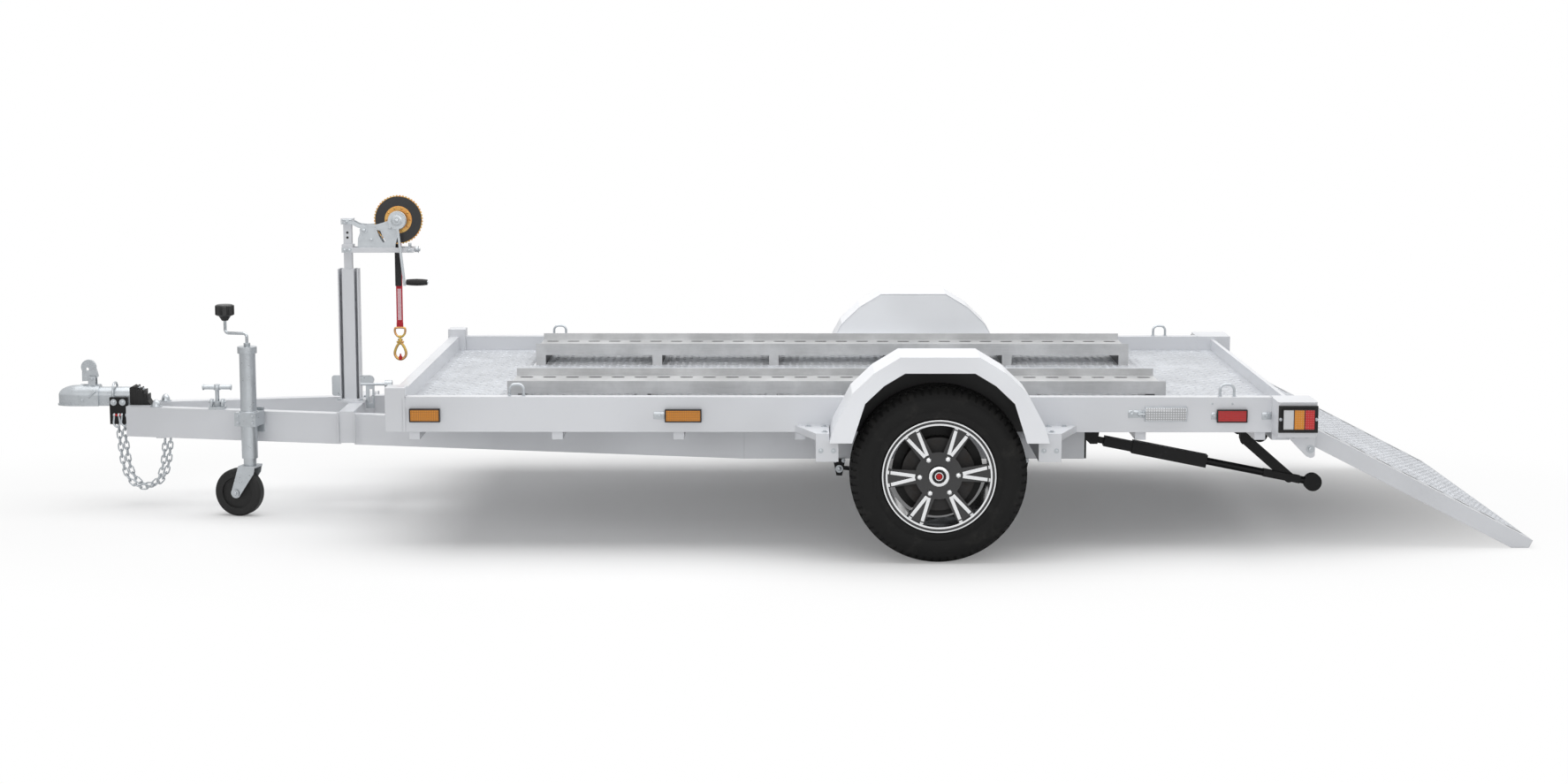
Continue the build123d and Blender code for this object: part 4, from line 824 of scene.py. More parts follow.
class TrailerTyre(bpy.types.PropertyGroup):
    """Sizes of the tyre tread."""

    pitches: bpy.props.IntProperty(
        name="Tread pitches", description="How many times the tread pattern repeats",
        min=24, max=120, default=68,
    )
    groove: bpy.props.FloatProperty(
        name="Groove depth", description="Depth of the tread grooves", subtype="DISTANCE", unit="LENGTH",
        min=0.002, max=0.012, default=0.006,
    )


class TrailerPlate(bpy.types.PropertyGroup):
    """Sizes of the tread plate pattern."""

    pitch: bpy.props.FloatProperty(
        name="Bar pitch", description="Distance between the raised bars", subtype="DISTANCE", unit="LENGTH",
        min=0.015, max=0.08, default=0.03,
    )
    rise: bpy.props.FloatProperty(
        name="Bar height", description="How far a bar stands proud", subtype="DISTANCE", unit="LENGTH",
        min=0.0005, max=0.004, default=0.0016,
    )


class TRAILER_OT_dress_nodes(bpy.types.Operator):
    """Give every CAD node the finish of its material slot"""

    bl_idname = "trailer.dress_nodes"
    bl_label = "Finish the CAD nodes"

    def execute(self, context):
        record = frame["record"]
        subparts = [part for part in record["subparts"] if part.get("material_slot")]
        slots = {part["node"]: part["material_slot"] for part in subparts}
        for node in frame["nodes"]:
            dress(node, OWN_FINISH.get(node, slots[node]))
        return {"FINISHED"}


class TRAILER_OT_tyres(bpy.types.Operator):
    """Build the tyres with ribs, grooves and shoulder lugs"""

    bl_idname = "trailer.tyres"
    bl_label = "Tyres"

    def execute(self, context):
        sizes = context.scene.trailer_tyre
        for name in ("left", "right"):
            low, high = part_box("tyre_" + name)
            centre = (low + high) / 2
            radius = (high.z - low.z) / 2
            half = (high.y - low.y) / 2
            bm = bmesh.new()
            self.carcass(bm, radius, half, sizes)
            bmesh.ops.transform(bm, matrix=Matrix.Translation(centre), verts=bm.verts)
            finished("tyre_tread_" + name, bm, "tyre", "wheel_" + name, node=("tyre_" + name,), smooth=28)
        return {"FINISHED"}

    def carcass(self, bm, radius, half, sizes):
        """One tyre about the origin, with its tread cut in."""
        deep = radius - sizes.groove
        seat = 0.194
        side = [
            (seat, half - 0.017), (seat + 0.012, half - 0.008), (0.214, half - 0.001), (0.224, half - 0.0005),
            (0.236, half - 0.004), (0.252, half), (0.268, half - 0.0005), (0.282, half - 0.003),
            (0.286, half - 0.006), (0.298, half - 0.011), (0.309, half - 0.021), (0.3165, half - 0.033),
        ]
        crown = [
            (radius - 0.0015, 0.058), (radius - 0.001, 0.05), (deep, 0.048), (deep, 0.041),
            (radius - 0.0005, 0.039), (radius, 0.017), (deep, 0.015), (deep, 0.008), (radius, 0.006),
        ]
        near = [(r, -y) for r, y in side] + [(r, -y) for r, y in crown]
        far = [(r, y) for r, y in reversed(crown)] + [(r, y) for r, y in reversed(side)]
        turned(bm, near + far, sizes.pitches * 3)
        self.lugs(bm, radius, sizes)

    def lugs(self, bm, radius, sizes):
        """Press cross grooves into the shoulders and the ribs."""
        step = 2 * math.pi / (sizes.pitches * 3)
        pressed = []
        for face in bm.faces:
            spot = face.calc_center_median()
            reach = math.hypot(spot.x, spot.z)
            turn = int(round((math.atan2(spot.z, spot.x) % (2 * math.pi)) / step - 0.5))
            wide = abs(spot.y)
            shoulder = reach > 0.3 and wide > 0.06
            rib = reach > radius - 0.004 and wide <= 0.06
            if shoulder and turn % 3 == 0:
                pressed.append(face)
            elif rib and turn % 3 == (1 if wide < 0.01 else 2) and 0.008 < wide:
                pressed.append(face)
        made = bmesh.ops.extrude_face_region(bm, geom=pressed)
        moved = grown(made)
        for vert in moved:
            reach = math.hypot(vert.co.x, vert.co.z)
            keep = (reach - sizes.groove * 0.75) / reach
            vert.co.x *= keep
            vert.co.z *= keep
            vert.co.y *= 0.985
        bmesh.ops.delete(bm, geom=pressed, context="FACES")


class TRAILER_OT_strap(bpy.types.Operator):
    """Hang the winch strap with its sleeve, ring and hook"""

    bl_idname = "trailer.strap"
    bl_label = "Winch strap"

    def execute(self, context):
        x, y = -2109.0, -1.5
        places = route([at(x, y, 1134.7), at(x, y, 1030), at(x, y, 888), at(x, y, 780), at(x, y, 718)])
        bm = bmesh.new()
        band(bm, places, 0.026, 0.0036)
        strap = finished("winch_strap_webbing", bm, "red_webbing", "mast", node=("winch_strap",))
        bm = bmesh.new()
        band(bm, route([at(x - 2, y, 1134), at(x - 2, y, 1000), at(x - 2, y, 889)]), 0.0275, 0.0072)
        sleeve = finished("winch_strap_sleeve", bm, "black_webbing", "mast")
        bm = bmesh.new()
        block(bm, at(x - 13.4, y - 3.0, 717), at(x + 13.4, y + 3.0, 742), 0.0012)
        for row in (722, 731, 737):
            block(bm, at(x - 11, y - 3.7, row), at(x + 11, y + 3.7, row + 1.6), 0.0005)
        end = finished("winch_strap_stitching", bm, "red_webbing", "mast")
        bm = bmesh.new()
        outline = (
            (-17, 721), (17, 721), (21, 716), (21, 702), (14, 688),
            (0, 681), (-14, 688), (-21, 702), (-21, 716),
        )
        wire(bm, [at(x + dx, y, z) for dx, z in outline], 0.0045, True)
        ring = finished("strap_d_ring", bm, "gold_zinc", "mast", node=("strap_ring",))
        bm = bmesh.new()
        outline = (
            (0, 663), (-10, 652), (-20, 633), (-24, 613), (-15, 597), (0, 591),
            (15, 597), (24, 613), (20, 633), (10, 652),
        )
        wire(bm, [at(x + dx, y, z) for dx, z in outline], 0.0055, True)
        bar(bm, at(x, y, 652), at(x, y, 672), 0.0075, 20, 0.0085, 0.001)
        bar(bm, at(x, y, 670), at(x, y, 676), 0.0105, 20, 0.0095, 0.001)
        wire(bm, [at(x, y + dy, z) for dy, z in ((-5, 672), (-7, 680), (0, 690), (7, 680), (5, 672))], 0.0032)
        block(bm, at(x - 15, y - 5, 659), at(x + 15, y + 5, 667), 0.003)
        hook = finished("strap_pear_hook", bm, "gold_zinc", "mast", node=("strap_hook",))
        bm = bmesh.new()
        block(bm, at(x - 7, y - 6.5, 589), at(x + 7, y + 6.5, 606), 0.003)
        bar(bm, at(x, y, 604), at(x, y, 615), 0.004, 12, 0.003)
        latch = finished("hook_latch", bm, "red_plastic", "mast")
        return {"FINISHED"}


class TRAILER_OT_wheel_trim(bpy.types.Operator):
    """Add wheel nuts, hub caps, brake shields, valves and arch plates black with painted shade on their outer
    side
    """

    bl_idname = "trailer.wheel_trim"
    bl_label = "Wheel trim"

    def execute(self, context):
        for side, name in ((LEFT, "left"), (RIGHT, "right")):
            body = "wheel_" + name
            low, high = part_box("tyre_" + name)
            face = low.y if side < 0 else high.y
            centre = Vector((AXLE.x, face, AXLE.z))
            inward = Vector((0, -side, 0))
            bm = bmesh.new()
            for i in range(6):
                turn = math.radians(60 * i + 3)
                spot = centre + Vector((math.cos(turn), 0, math.sin(turn))) * STUD_CIRCLE
                bar(bm, spot + inward * 0.0145, spot + inward * 0.006, 0.0105, 6, 0.0098, 0.0006)
                dome(bm, spot + inward * 0.006, -inward, 0.0088, 0.0045)
            finished("wheel_nuts_" + name, bm, "chrome", body)
            bm = bmesh.new()
            wide = (
                (0.0365, 0.0045), (0.0365, 0.0025), (0.0345, 0.001),
                (0.026, 0.001), (0.0245, 0.003), (0.0245, 0.0045),
            )
            narrow = ((0.0155, 0.0045), (0.0155, 0.0022), (0.0125, 0.0022), (0.0125, 0.0045))
            for outline in (wide, narrow):
                self.ring(bm, outline, centre, inward)
            finished("hub_cap_rings_" + name, bm, "chrome", body)
            bm = bmesh.new()
            bar(bm, centre + inward * 0.0055, centre + inward * 0.0032, 0.0245, 48)
            finished("hub_cap_field_" + name, bm, "black_plastic", body)
            bm = bmesh.new()
            dome(bm, centre + inward * 0.0034, -inward, 0.0105, 0.002)
            finished("hub_cap_centre_" + name, bm, "red_plastic", body)
            bm = bmesh.new()
            back = centre + inward * 0.127
            self.ring(bm, ((0.166, 0.0), (0.166, 0.002), (0.077, 0.002), (0.077, 0.0)), back, inward)
            finished("brake_shield_" + name, bm, "black_plastic", "chassis")
            # A thin plate on the rail inside the guard arch: its outer side is painted black as painted shade
            # under the guard, its side toward the deck pale.
            bm = bmesh.new()
            outline = [(-391, 448), (-378.5, 499), (-312.5, 622.5), (-234.5, 697), (-141, 753.5)]
            outline += [(-x, z) for x, z in reversed(outline)]
            rail = [bm.verts.new(at(x, side * 963.3, z)) for x, z in outline]
            made = bmesh.ops.extrude_face_region(bm, geom=[bm.faces.new(rail)])
            moved = grown(made)
            bmesh.ops.translate(bm, vec=(0, side * 0.0025, 0), verts=moved)
            bmesh.ops.recalc_face_normals(bm, faces=bm.faces)
            finished("arch_shade_plate_" + name, bm, "liner", "chassis")
            bm = bmesh.new()
            root = centre + Vector((0.128, 0, -0.128)) + inward * 0.012
            bar(bm, root, root + Vector((-0.006, 0, 0.006)) - inward * 0.004, 0.0045, 12, 0.0035)
            finished("valve_" + name, bm, "rubber", body)
        return {"FINISHED"}

    def ring(self, bm, outline, centre, inward):
        """A turned ring on the hub cap's face, from (radius, depth) points."""
        part = bmesh.new()
        turned(part, [(radius, depth * inward.y) for radius, depth in outline], 64)
        bmesh.ops.transform(part, matrix=Matrix.Translation(centre), verts=part.verts)
        mesh = as_mesh("ring", part)
        bm.from_mesh(mesh)
        bpy.data.meshes.remove(mesh)


class TRAILER_OT_tread(bpy.types.Operator):
    """Press the tread pattern into the deck and the ramp, and fill the ramp's slots with black painted shade
    """

    bl_idname = "trailer.tread"
    bl_label = "Tread plate"

    def execute(self, context):
        sizes = context.scene.trailer_plate
        low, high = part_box("deck_plate")
        bm = tread_field(high.x - low.x, high.y - low.y, sizes)
        spot = Vector(((low.x + high.x) / 2, (low.y + high.y) / 2, high.z - 0.0001))
        bmesh.ops.translate(bm, vec=spot, verts=bm.verts)
        finished("deck_tread", bm, "tread_plate", "chassis", smooth=0)
        hinge = at(1335.0, 0.0, 472.0)
        length, above, slots = 0.998, 0.0145, 9
        fall = 0.472 - 0.002 - 0.028
        drop = math.asin(fall / math.hypot(length, above)) + math.atan2(above, length)
        bm = tread_field(0.99, 2 * 0.785, sizes)
        bmesh.ops.translate(bm, vec=Vector((0.499, 0, 0.0144)), verts=bm.verts)
        lean = Matrix.Translation(hinge) @ Matrix.Rotation(drop, 4, "Y")
        bmesh.ops.transform(bm, matrix=lean, verts=bm.verts)
        finished("ramp_tread", bm, "tread_plate", "ramp", smooth=0)
        # Painted shade: thin black blocks fill the ramp's slots in place of the shade beneath the ramp.
        bm = bmesh.new()
        for i in range(slots):
            x = (i + 0.5) * length / slots
            for side in (LEFT, RIGHT):
                low = Vector((x - 0.031, side * 0.810 - 0.016, 0.0))
                block(bm, low, low + Vector((0.062, 0.032, 0.0149)), 0.0002, 1)
        bmesh.ops.transform(bm, matrix=lean, verts=bm.verts)
        finished("ramp_slot_shade", bm, "black_plastic", "ramp", smooth=0)
        return {"FINISHED"}


class TRAILER_OT_winch_detail(bpy.types.Operator):
    """Add the winch's bolts, black discs as painted shade in the mast holes, ratchet hub and rivets"""

    bl_idname = "trailer.winch_detail"
    bl_label = "Winch detail"

    def execute(self, context):
        plate = -29.5
        bm = bmesh.new()
        for x, z, radius in ((-2243, 1115, 0.009), (-2214, 1078, 0.0065), (-2137, 1125, 0.0075)):
            bolt(bm, at(x, plate, z), (0, -1, 0), radius)
        for x in (-2320, -2301, -2062):
            bolt(bm, at(x, -35.5, 1036), (0, -1, 0), 0.006)
            bolt(bm, at(x, 32.5, 1036), (0, 1, 0), 0.006)
        for z in (1144, 1156):
            bar(bm, at(-2330, -25.4, z), at(-2290, -25.4, z), 0.003, 12, edge=0.0005)
        bolt(bm, at(-2310, -25.5, 1150), (0, -1, 0), 0.0065)
        bar(bm, at(-2044, 0, 1036), at(-2030, 0, 1036), 0.011, 20, edge=0.001)
        bolt(bm, at(-2030, 0, 1036), (1, 0, 0), 0.008)
        block(bm, at(-2096, -25, 1046), at(-2058, -5, 1050), 0.001)
        bar(bm, at(-2060, -18, 1050), at(-2060, -18, 1064), 0.006, 16, edge=0.001)
        finished("winch_bolts", bm, "zinc", "mast")
        # Painted shade: thin black discs on the mast stand for the dark inside of its holes.
        bm = bmesh.new()
        for x, z in ((-2310, 1105), (-2310, 1085)):
            bar(bm, at(x, -17.9, z), at(x, -17.2, z), 0.005, 20)
        finished("mast_hole_shade", bm, "black_plastic", "mast")
        bm = bmesh.new()
        centre = GEAR_AXIS
        front, pitch, thickness = -68.5, 5.0, 3.2
        for i, radius in enumerate((0.0225, 0.029, 0.034, 0.037, 0.037)):
            y = front + i * pitch
            near = Vector((centre.x, y * MM, centre.z))
            bar(bm, near, Vector((centre.x, (y + thickness) * MM, centre.z)), radius, 36, edge=0.0008)
        bolt(bm, Vector((centre.x, front * MM, centre.z)), (0, -1, 0), 0.009)
        finished("ratchet_hub", bm, "zinc", "winch_rotor")
        bm = bmesh.new()
        for i in range(10):
            turn = math.radians(36 * i)
            spot = centre + Vector((math.cos(turn) * 0.047, 0, math.sin(turn) * 0.047))
            spot.y = -20.6 * MM
            dome(bm, spot, (0, -1, 0), 0.0042, 0.002)
        finished("small_gear_rivets", bm, "gold_zinc", "winch_rotor")
        bm = bmesh.new()
        bolt(bm, at(-2066.5, -62.5, 910), (1, 0, 0), 0.006)
        bar(bm, at(-1988, -62.5, 910), at(-1984, -62.5, 910), 0.006, 16, 0.005)
        finished("grip_bolts", bm, "zinc", "winch_rotor")
        return {"FINISHED"}


class TRAILER_OT_coupling_detail(bpy.types.Operator):
    """Add the coupling's pins, shackles, boot ridges and bolts"""

    bl_idname = "trailer.coupling_detail"
    bl_label = "Coupling detail"

    def execute(self, context):
        bm = bmesh.new()
        bar(bm, at(-3364, -46, 441), at(-3336, -46, 468), 0.0042, 16, edge=0.001)
        for side in (LEFT, RIGHT):
            bolt(bm, at(-3355, side * 17, 514), (0, side, 0), 0.006)
            for x in (-3262, -3226):
                bolt(bm, at(x, side * 50, 423), (0, side, 0), 0.0075)
            bolt(bm, at(-3390, side * 44, 430), (0, side, 0), 0.005)
        hoop = ((-39, 440), (-41, 470), (-24, 497), (24, 497), (41, 470), (39, 440))
        wire(bm, [at(-3266, y, z) for y, z in hoop], 0.0045)
        for side in (LEFT, RIGHT):
            y = side * 81.7
            dome(bm, at(-3082, y, 412), (0, 0, 1), 0.018, 0.028)
            bar(bm, at(-3082, y, 410), at(-3082, y, 413.5), 0.024, 28, edge=0.0006)
        for x in (-2852, -2808):
            block(bm, at(x, -152, 420), at(x + 10, -124, 450), 0.002)
            bar(bm, at(x, -138, 438), at(x + 12, -138, 438), 0.013, 24, edge=0.001)
        bar(bm, at(-2860, -138, 438), at(-2790, -138, 438), 0.005, 16, edge=0.001)
        for x in (-2879, -2769):
            bar(bm, at(x - 3, -138, 497), at(x + 3, -138, 497), 0.012, 24, edge=0.002)
        bar(bm, at(-2824, -138, 420), at(-2824, -138, 440), 0.015, 6, 0.014, 0.001)
        bar(bm, at(-2824, -138, 486), at(-2824, -138, 509), 0.014, 24, 0.012, 0.002)
        finished("coupling_bolts", bm, "zinc", "chassis")
        bm = bmesh.new()
        for side in (LEFT, RIGHT):
            for x, low in ((-3250, 322), (-3219, 326)):
                self.shackle(bm, x, side * 54, low)
        finished("bow_shackles", bm, "zinc", "chassis")
        bm = bmesh.new()
        for side in (LEFT, RIGHT):
            bar(bm, at(-3259, side * 54, 372), at(-3224, side * 54, 372), 0.0048, 16, edge=0.001)
        finished("shackle_pins", bm, "red_plastic", "chassis")
        bm = bmesh.new()
        ridges = ((-3190, 486, 34), (-3176, 486, 34), (-3161, 478, 33), (-3146, 470, 32), (-3134, 452, 31))
        for x, top, half in ridges:
            block(bm, at(x, -half, 411), at(x + 6, half, top), 0.0026)
        finished("boot_ridges", bm, "rubber", "chassis")
        bm = bmesh.new()
        for x, z in ((-3168, 476), (-3150, 469)):
            bolt(bm, at(x, 0, z), (0.3, 0, 1), 0.006)
        finished("boot_bolts", bm, "zinc", "chassis")
        return {"FINISHED"}

    def shackle(self, bm, x, y, low):
        """A bow shackle that hangs on the bracket's cheek."""
        points = ((-9, 372), (-11, 352), (-14, low + 14), (0, low - 2), (14, low + 14), (11, 352), (9, 372))
        wire(bm, [at(x + dx, y, z) for dx, z in points], 0.0042)
        for dx in (-9, 9):
            bar(bm, at(x + dx - 4, y, 372), at(x + dx + 4, y, 372), 0.0078, 18, edge=0.001)


class TRAILER_OT_chains(bpy.types.Operator):
    """Hang the safety chains as round welded links"""

    bl_idname = "trailer.chains"
    bl_label = "Safety chains"

    def execute(self, context):
        inner, width, steel, slack = 28.5, 12.5, 6.0, 2.8
        link = self.link(inner * MM, width * MM, steel / 2 * MM)
        pitch = inner - slack
        turns = (1, 1, 1, 1, 2, 4, 7, 11, 16, 21, 23, 23, 21, 16, 11, 7, 4, 2, 1, 1, 1)
        bm = bmesh.new()
        for y, shift in ((-24.0, 0.0), (24.0, 12.0)):
            x, z, angle = -3250.0 + shift, 334.0 - (inner / 2 + steel - pitch / 2), -88.0
            for i, turn in enumerate(turns):
                lean = math.radians(angle)
                nx, nz = x + pitch * math.cos(lean), z + pitch * math.sin(lean)
                place = Matrix.Translation(at((x + nx) / 2, y, (z + nz) / 2)) @ Matrix.Rotation(-lean, 4, "Y")
                if i % 2:
                    place = place @ Matrix.Rotation(math.pi / 2, 4, "X")
                before = len(bm.verts)
                bm.from_mesh(link)
                bm.verts.ensure_lookup_table()
                bmesh.ops.transform(bm, matrix=place, verts=bm.verts[before:])
                x, z, angle = nx, nz, angle + turn
        bpy.data.meshes.remove(link)
        finished("safety_chain_links", bm, "zinc", "chassis", node=("safety_chains",), smooth=50)
        return {"FINISHED"}

    def link(self, length, width, wire_radius):
        """One welded link along X, as a mesh to copy."""
        bm = bmesh.new()
        half = (length - width) / 2
        reach = width / 2 + wire_radius
        turn = Matrix.Translation((half, -reach, 0)) @ Matrix.Rotation(math.pi / 2, 4, "Y")
        bmesh.ops.create_circle(bm, segments=8, radius=wire_radius, matrix=turn)
        geom = bm.verts[:] + bm.edges[:]
        for centre, shift in ((half, -2 * half), (-half, 2 * half)):
            made = bmesh.ops.spin(
                bm, geom=geom, cent=(centre, 0, 0), axis=(0, 0, 1), angle=math.pi, steps=6, use_merge=False
            )
            ring = [g for g in made["geom_last"] if isinstance(g, bmesh.types.BMEdge)]
            made = bmesh.ops.extrude_edge_only(bm, edges=ring)
            verts = grown(made)
            bmesh.ops.translate(bm, vec=(shift, 0, 0), verts=verts)
            geom = verts + [e for e in made["geom"] if isinstance(e, bmesh.types.BMEdge)]
        bmesh.ops.remove_doubles(bm, verts=bm.verts, dist=0.0001)
        bmesh.ops.recalc_face_normals(bm, faces=bm.faces)
        return as_mesh("link", bm)


class TRAILER_OT_lamp_detail(bpy.types.Operator):
    """Add the lamp surrounds, brackets, screws and marker lenses"""

    bl_idname = "trailer.lamp_detail"
    bl_label = "Lamp detail"

    def execute(self, context):
        black = bmesh.new()
        bright = bmesh.new()
        lens = bmesh.new()
        for side in (LEFT, RIGHT):
            face = side * RAIL_FACE
            for x0, x1 in ((-1937, -1829), (-996, -866), (1035, 1142)):
                top = 531 if x0 < -1900 else 529
                self.rim(black, x0, x1, 486, top, face, side, 14.5)
            for x0, x1 in ((-1041, -996), (1012, 1035), (1199, 1234)):
                slab(bright, x0, x1, face, face + side * 3.0, 494, 521, 0.001)
                bolt(bright, at((x0 + x1) / 2, face + side * 3.0, 507), (0, side, 0), 0.0045)
            slab(lens, 770, 920, face, face + side * 12.0, 490, 538, 0.004)
            self.rim(bright, 770, 920, 490, 538, face, side, 9.0)
            slab(bright, 708, 770, face, face + side * 3.0, 500, 528, 0.001)
            for x in (745, 760):
                slab(bright, x, x + 4, face + side * 3.0, face + side * 13.0, 503, 526, 0.001)
            bar(bright, at(742, face + side * 9.0, 514), at(768, face + side * 9.0, 514), 0.0045, 14)
            bolt(bright, at(721, face + side * 3.0, 514), (0, side, 0), 0.007)
            for x in (1016, 1090):
                bolt(bright, at(x, face, 552), (0, side, 0), 0.0022)
            outer = side * 1114.0
            for x in (1250.5, 1289.5, 1328.5, 1365.5):
                slab(black, x - 1.2, x + 1.2, outer - side * 10.0, outer + side * 1.2, 479, 551, 0.0004)
            for z in (478.2, 551.8):
                slab(black, 1249, 1367, outer - side * 10.0, outer + side * 1.5, z - 1.4, z + 1.4, 0.0005)
            for x in (1243, 1373):
                bolt(bright, at(x, side * 1104.0, 515), (0, side, 0), 0.0035)
        finished("lamp_surrounds", black, "black_plastic", "chassis")
        finished("lamp_brackets", bright, "zinc", "chassis")
        finished("marker_lamp_lenses", lens, "clear_lens", "chassis", node=("marker_lamps",))
        return {"FINISHED"}

    def rim(self, bm, x0, x1, z0, z1, face, side, depth):
        """A thin frame round a reflector on the rail."""
        for a, b, c, d in (
            (x0 - 2, x1 + 2, z0 - 2.5, z0 + 1.5), (x0 - 2, x1 + 2, z1 - 1.5, z1 + 2.5),
            (x0 - 2.5, x0 + 1.5, z0 - 2, z1 + 2), (x1 - 1.5, x1 + 2.5, z0 - 2, z1 + 2),
        ):
            slab(bm, a, b, face, face + side * depth, c, d, 0.001)


class TRAILER_OT_fasteners(bpy.types.Operator):
    """Add the bolts and weld beads of the frame"""

    bl_idname = "trailer.fasteners"
    bl_label = "Bolts and welds"

    def execute(self, context):
        bolts = bmesh.new()
        beads = bmesh.new()
        for side in (LEFT, RIGHT):
            face = side * RAIL_FACE
            for toward in (-1, 1):
                for x, y in ((412, 990), (412, 1120), (470, 985)):
                    bolt(bolts, at(toward * x, side * y, 471), (0, 0, 1), 0.0065)
                for x in (380, 426):
                    bolt(bolts, at(toward * x, side * 1160, 408), (0, side, 0), 0.0055)
                for x in (-16, 16):
                    bolt(bolts, at(toward * 350 + x, side * 628.6, 284), (0, side, 0), 0.0045)
                bolt(bolts, at(toward * 350, side * 628.6, 252), (0, side, 0), 0.0085)
            for x in (-26, 26):
                for y in (568, 622):
                    bar(bolts, at(x, side * y, 206), at(x, side * y, 292), 0.0055, 12)
                    bolt(bolts, at(x, side * y, 207), (0, 0, -1), 0.0075)
            self.bead(beads, at(-1966, face, 450), at(-1966, face, 572))
            self.bead(beads, at(-1954, face, 450), at(-1954, face, 572))
            self.bead(beads, at(-1955, face, 576), at(-1955, side * 913, 576))
            self.bead(beads, at(1236, face, 450), at(1236, face, 572))
            self.bead(beads, at(1236, face, 576), at(1236, side * 913, 576))
            for x in (-1546.0, 1073.0):
                for shift in (-26, 26):
                    spot = x + shift
                    self.bead(beads, at(spot - 8, side * 938, 577), at(spot + 8, side * 938, 577), 0.004)
            for x in (362, 444, -362, -444):
                self.bead(beads, at(x, side * 964, 446), at(x, side * 1150, 446), 0.002)
            bolt(bolts, at(1385, side * 940, 380), (0, side, 0), 0.009)
            for x in (1320, 1370):
                bolt(bolts, at(x, side * 940.2, 430), (0, side, 0), 0.006)
        for x in (-2354, -2262):
            for y in (-48, 48):
                bolt(bolts, at(x, y, 432), (0, 0, 1), 0.007)
        self.bead(beads, at(-2351, -28.5, 433), at(-2269, -28.5, 433), 0.003)
        nose_x, nose_y, slope, beam_width = 3205, 55, 0.2167, 51
        for side in (LEFT, RIGHT):
            for x in (-2318, -2250):
                y = side * (nose_y + slope * (x + nose_x) + beam_width)
                self.bead(beads, at(x, y, 300), at(x, y, 420), 0.005)
        finished("frame_bolts", bolts, "zinc", "chassis")
        finished("weld_beads", beads, "frame_paint", "chassis", smooth=60)
        return {"FINISHED"}

    def bead(self, bm, start, end, radius=0.0022):
        """A laid weld bead with its ripples."""
        steps = max(2, int((end - start).length / 0.006))
        for i in range(steps):
            a = start.lerp(end, i / steps)
            b = start.lerp(end, (i + 1.25) / (steps + 0.25))
            bar(bm, a, b, radius, 6, radius * 0.78)


class TRAILER_OT_jockey_detail(bpy.types.Operator):
    """Add the jockey wheel's clamp, axle nuts and knob grips"""

    bl_idname = "trailer.jockey_detail"
    bl_label = "Jockey wheel detail"

    def execute(self, context):
        turn = Matrix.Rotation(-math.atan((595.0 - 55.0) / (3205.0 - 713.0)), 4, "Z")
        place = Matrix.Translation(at(-2675, -260, 0)) @ turn
        bm = bmesh.new()
        for z in (366, 414):
            self.clamp(bm, z)
        for x in (-30, 30):
            for z in (376, 404):
                bolt(bm, Vector((x * MM, -0.040, z * MM)), (0, -1, 0), 0.006)
        bmesh.ops.transform(bm, matrix=place, verts=bm.verts)
        finished("jockey_clamp", bm, "zinc", "jockey_leg")
        bm = bmesh.new()
        for y, axis in ((-0.044, -1), (0.044, 1)):
            bolt(bm, Vector((-0.047, y, 0.095)), (0, axis, 0), 0.0085)
        bmesh.ops.transform(bm, matrix=place, verts=bm.verts)
        finished("jockey_axle_nuts", bm, "zinc", "jockey_caster")
        bm = bmesh.new()
        bar(bm, Vector((-0.090, 0, 0.776)), Vector((-0.090, 0, 0.798)), 0.012, 28, 0.026, 0.001)
        for i in range(8):
            turn = math.radians(45 * i)
            spot = Vector((-0.090 + 0.0335 * math.cos(turn), 0.0335 * math.sin(turn), 0.800))
            bar(bm, spot, spot + Vector((0, 0, 0.036)), 0.006, 12, edge=0.0015)
        bmesh.ops.transform(bm, matrix=place, verts=bm.verts)
        finished("jockey_knob_grips", bm, "black_plastic", "jockey_handle")
        return {"FINISHED"}

    def clamp(self, bm, z):
        """A band round the jockey tube."""
        part = (
            (0.0322, z - 7), (0.036, z - 7), (0.037, z - 5),
            (0.037, z + 5), (0.036, z + 7), (0.0322, z + 7),
        )
        turned(bm, [(radius, height * MM) for radius, height in part], 40, (0, 0, 1))


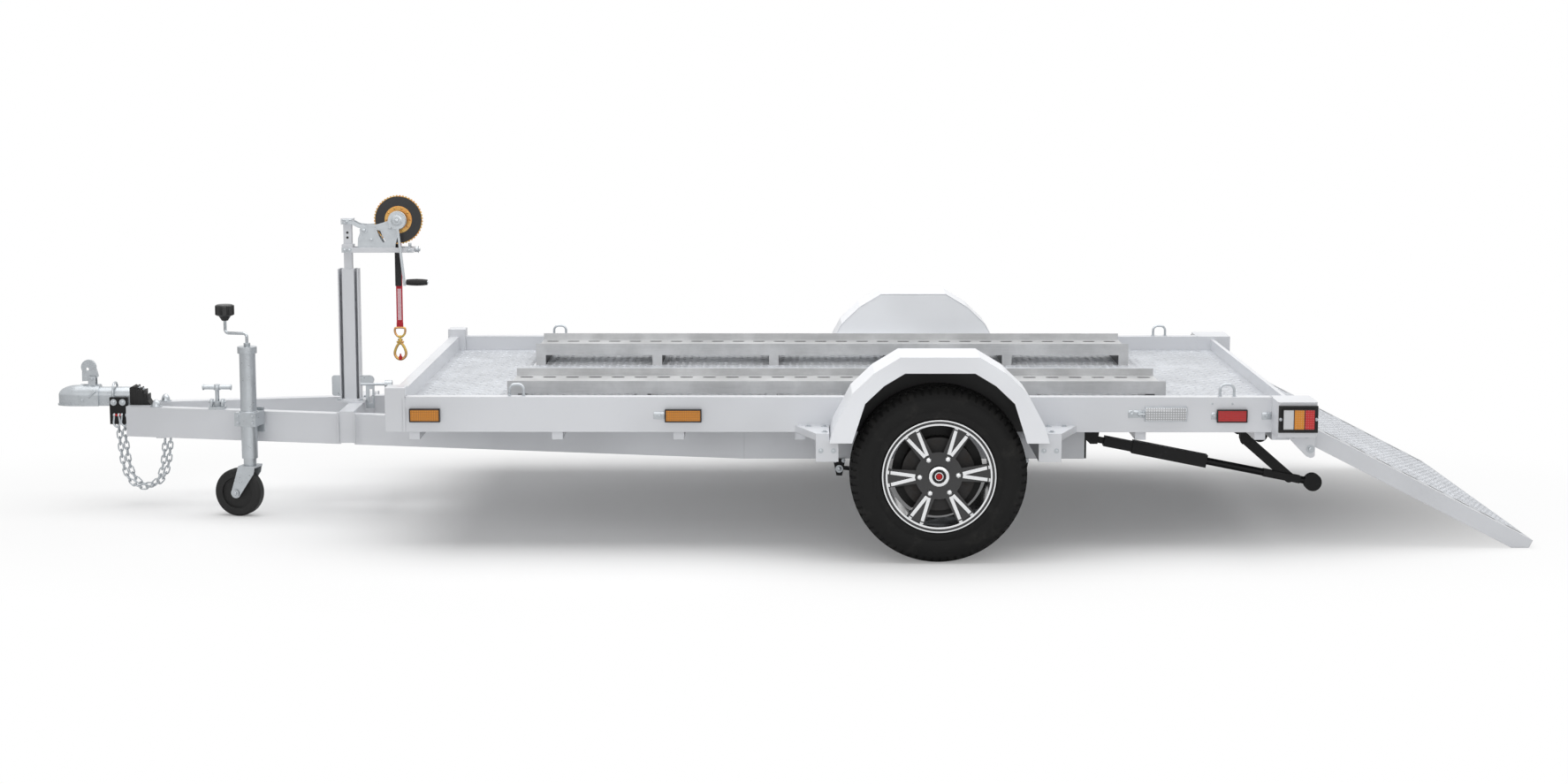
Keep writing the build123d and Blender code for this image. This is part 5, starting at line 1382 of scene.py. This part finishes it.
class TRAILER_OT_stage(bpy.types.Operator):
    """Set up the floor, the light and the camera"""

    bl_idname = "trailer.stage"
    bl_label = "Stage"

    def execute(self, context):
        scene = context.scene
        scene.view_settings.view_transform = "Standard"
        self.floor()
        self.world(scene)
        self.lamp("overhead_light", (0.2, 0.2, 4.6), (0, 0, 0), (8.0, 5.5), 270)
        self.lamp("front_light", (-0.4, -7.2, 2.1), (math.radians(80), 0, 0), (7.0, 1.6), 84)
        eye = bpy.data.objects.new("camera", bpy.data.cameras.new("camera"))
        scene.collection.objects.link(eye)
        eye.data.sensor_width = 36.0
        eye.data.lens = 62.1
        eye.data.clip_end = 200
        eye.location = (AXLE.x - 0.5244, -10.8143, 1.983)
        eye.rotation_euler = (math.radians(81.981), 0, math.radians(0.2057))
        scene.camera = eye
        return {"FINISHED"}

    def floor(self):
        """A wide pale floor."""
        bm = bmesh.new()
        bmesh.ops.create_grid(bm, x_segments=4, y_segments=4, size=60.0)
        mesh = as_mesh("floor", bm)
        floor = bpy.data.objects.new("floor", mesh)
        bpy.context.scene.collection.objects.link(floor)
        finish = Finish("floor")
        away = finish.vector("MULTIPLY", finish.place(), (0.55, 1.0, 0.0))
        distance = finish.vector("LENGTH", away, output=1)
        seen = finish.node("LightPath", output=0)
        matt = finish.node("BsdfDiffuse", None, {"Color": (0.9, 0.9, 0.9)})
        glow = finish.node("Emission", None, {"Color": (1.0, 1.0, 1.0), "Strength": 1.0})
        white = seen * (0.12 + 0.88 * distance.ramped(0.9, 2.3))
        both = finish.node("MixShader", None, {0: white, 1: matt, 2: glow})
        finish.node("OutputMaterial", None, {"Surface": both})
        mesh.materials.append(finish.material)

    def world(self, scene):
        """White to the eye and in reflections, softer as a light."""
        scene.world = bpy.data.worlds.new("studio")
        sky = Finish(scene.world)
        camera, glossy, clear = (sky.node("LightPath", output=i) for i in (0, 3, 6))
        seen = sky.maths("MAXIMUM", sky.maths("MAXIMUM", camera, glossy), clear)
        light = sky.node("Background", None, {"Color": (1.0, 1.0, 1.0, 1.0), "Strength": 0.42 + 0.58 * seen})
        sky.node("OutputWorld", None, {"Surface": light})

    def lamp(self, name, place, turn, size, power):
        """One large soft lamp."""
        light = bpy.data.lights.new(name, "AREA")
        light.shape = "RECTANGLE"
        light.size, light.size_y = size
        light.energy = power
        lamp = bpy.data.objects.new(name, light)
        bpy.context.scene.collection.objects.link(lamp)
        lamp.location = place
        lamp.rotation_euler = turn


STEPS = (
    "stage",
    "dress_nodes",
    "strap",
    "tyres",
    "wheel_trim",
    "tread",
    "winch_detail",
    "coupling_detail",
    "chains",
    "jockey_detail",
    "lamp_detail",
    "fasteners",
)


class TRAILER_PT_pieces(bpy.types.Panel):
    """Lists the pieces and their sizes in the sidebar"""

    bl_idname = "TRAILER_PT_pieces"
    bl_label = "Car trailer"
    bl_space_type = "VIEW_3D"
    bl_region_type = "UI"
    bl_category = "Trailer"

    def draw(self, context):
        layout = self.layout
        scene = context.scene
        for group in (scene.trailer_colours, scene.trailer_tyre, scene.trailer_plate):
            box = layout.box()
            for key in group.__annotations__:
                box.prop(group, key)
        for step in STEPS:
            layout.operator("trailer." + step)


CLASSES = (
    TrailerColours,
    TrailerTyre,
    TrailerPlate,
    TRAILER_OT_dress_nodes,
    TRAILER_OT_tyres,
    TRAILER_OT_strap,
    TRAILER_OT_wheel_trim,
    TRAILER_OT_tread,
    TRAILER_OT_winch_detail,
    TRAILER_OT_coupling_detail,
    TRAILER_OT_chains,
    TRAILER_OT_jockey_detail,
    TRAILER_OT_lamp_detail,
    TRAILER_OT_fasteners,
    TRAILER_OT_stage,
    TRAILER_PT_pieces,
)
GROUPS = {"trailer_colours": TrailerColours, "trailer_tyre": TrailerTyre, "trailer_plate": TrailerPlate}


def register():
    for made in CLASSES:
        bpy.utils.register_class(made)
    for name, group in GROUPS.items():
        setattr(bpy.types.Scene, name, bpy.props.PointerProperty(type=group))


def unregister():
    for name in GROUPS:
        delattr(bpy.types.Scene, name)
    for made in reversed(CLASSES):
        bpy.utils.unregister_class(made)


def main():
    register()
    for step in STEPS:
        getattr(bpy.ops.trailer, step)()


if __name__ == "__main__":
    main()
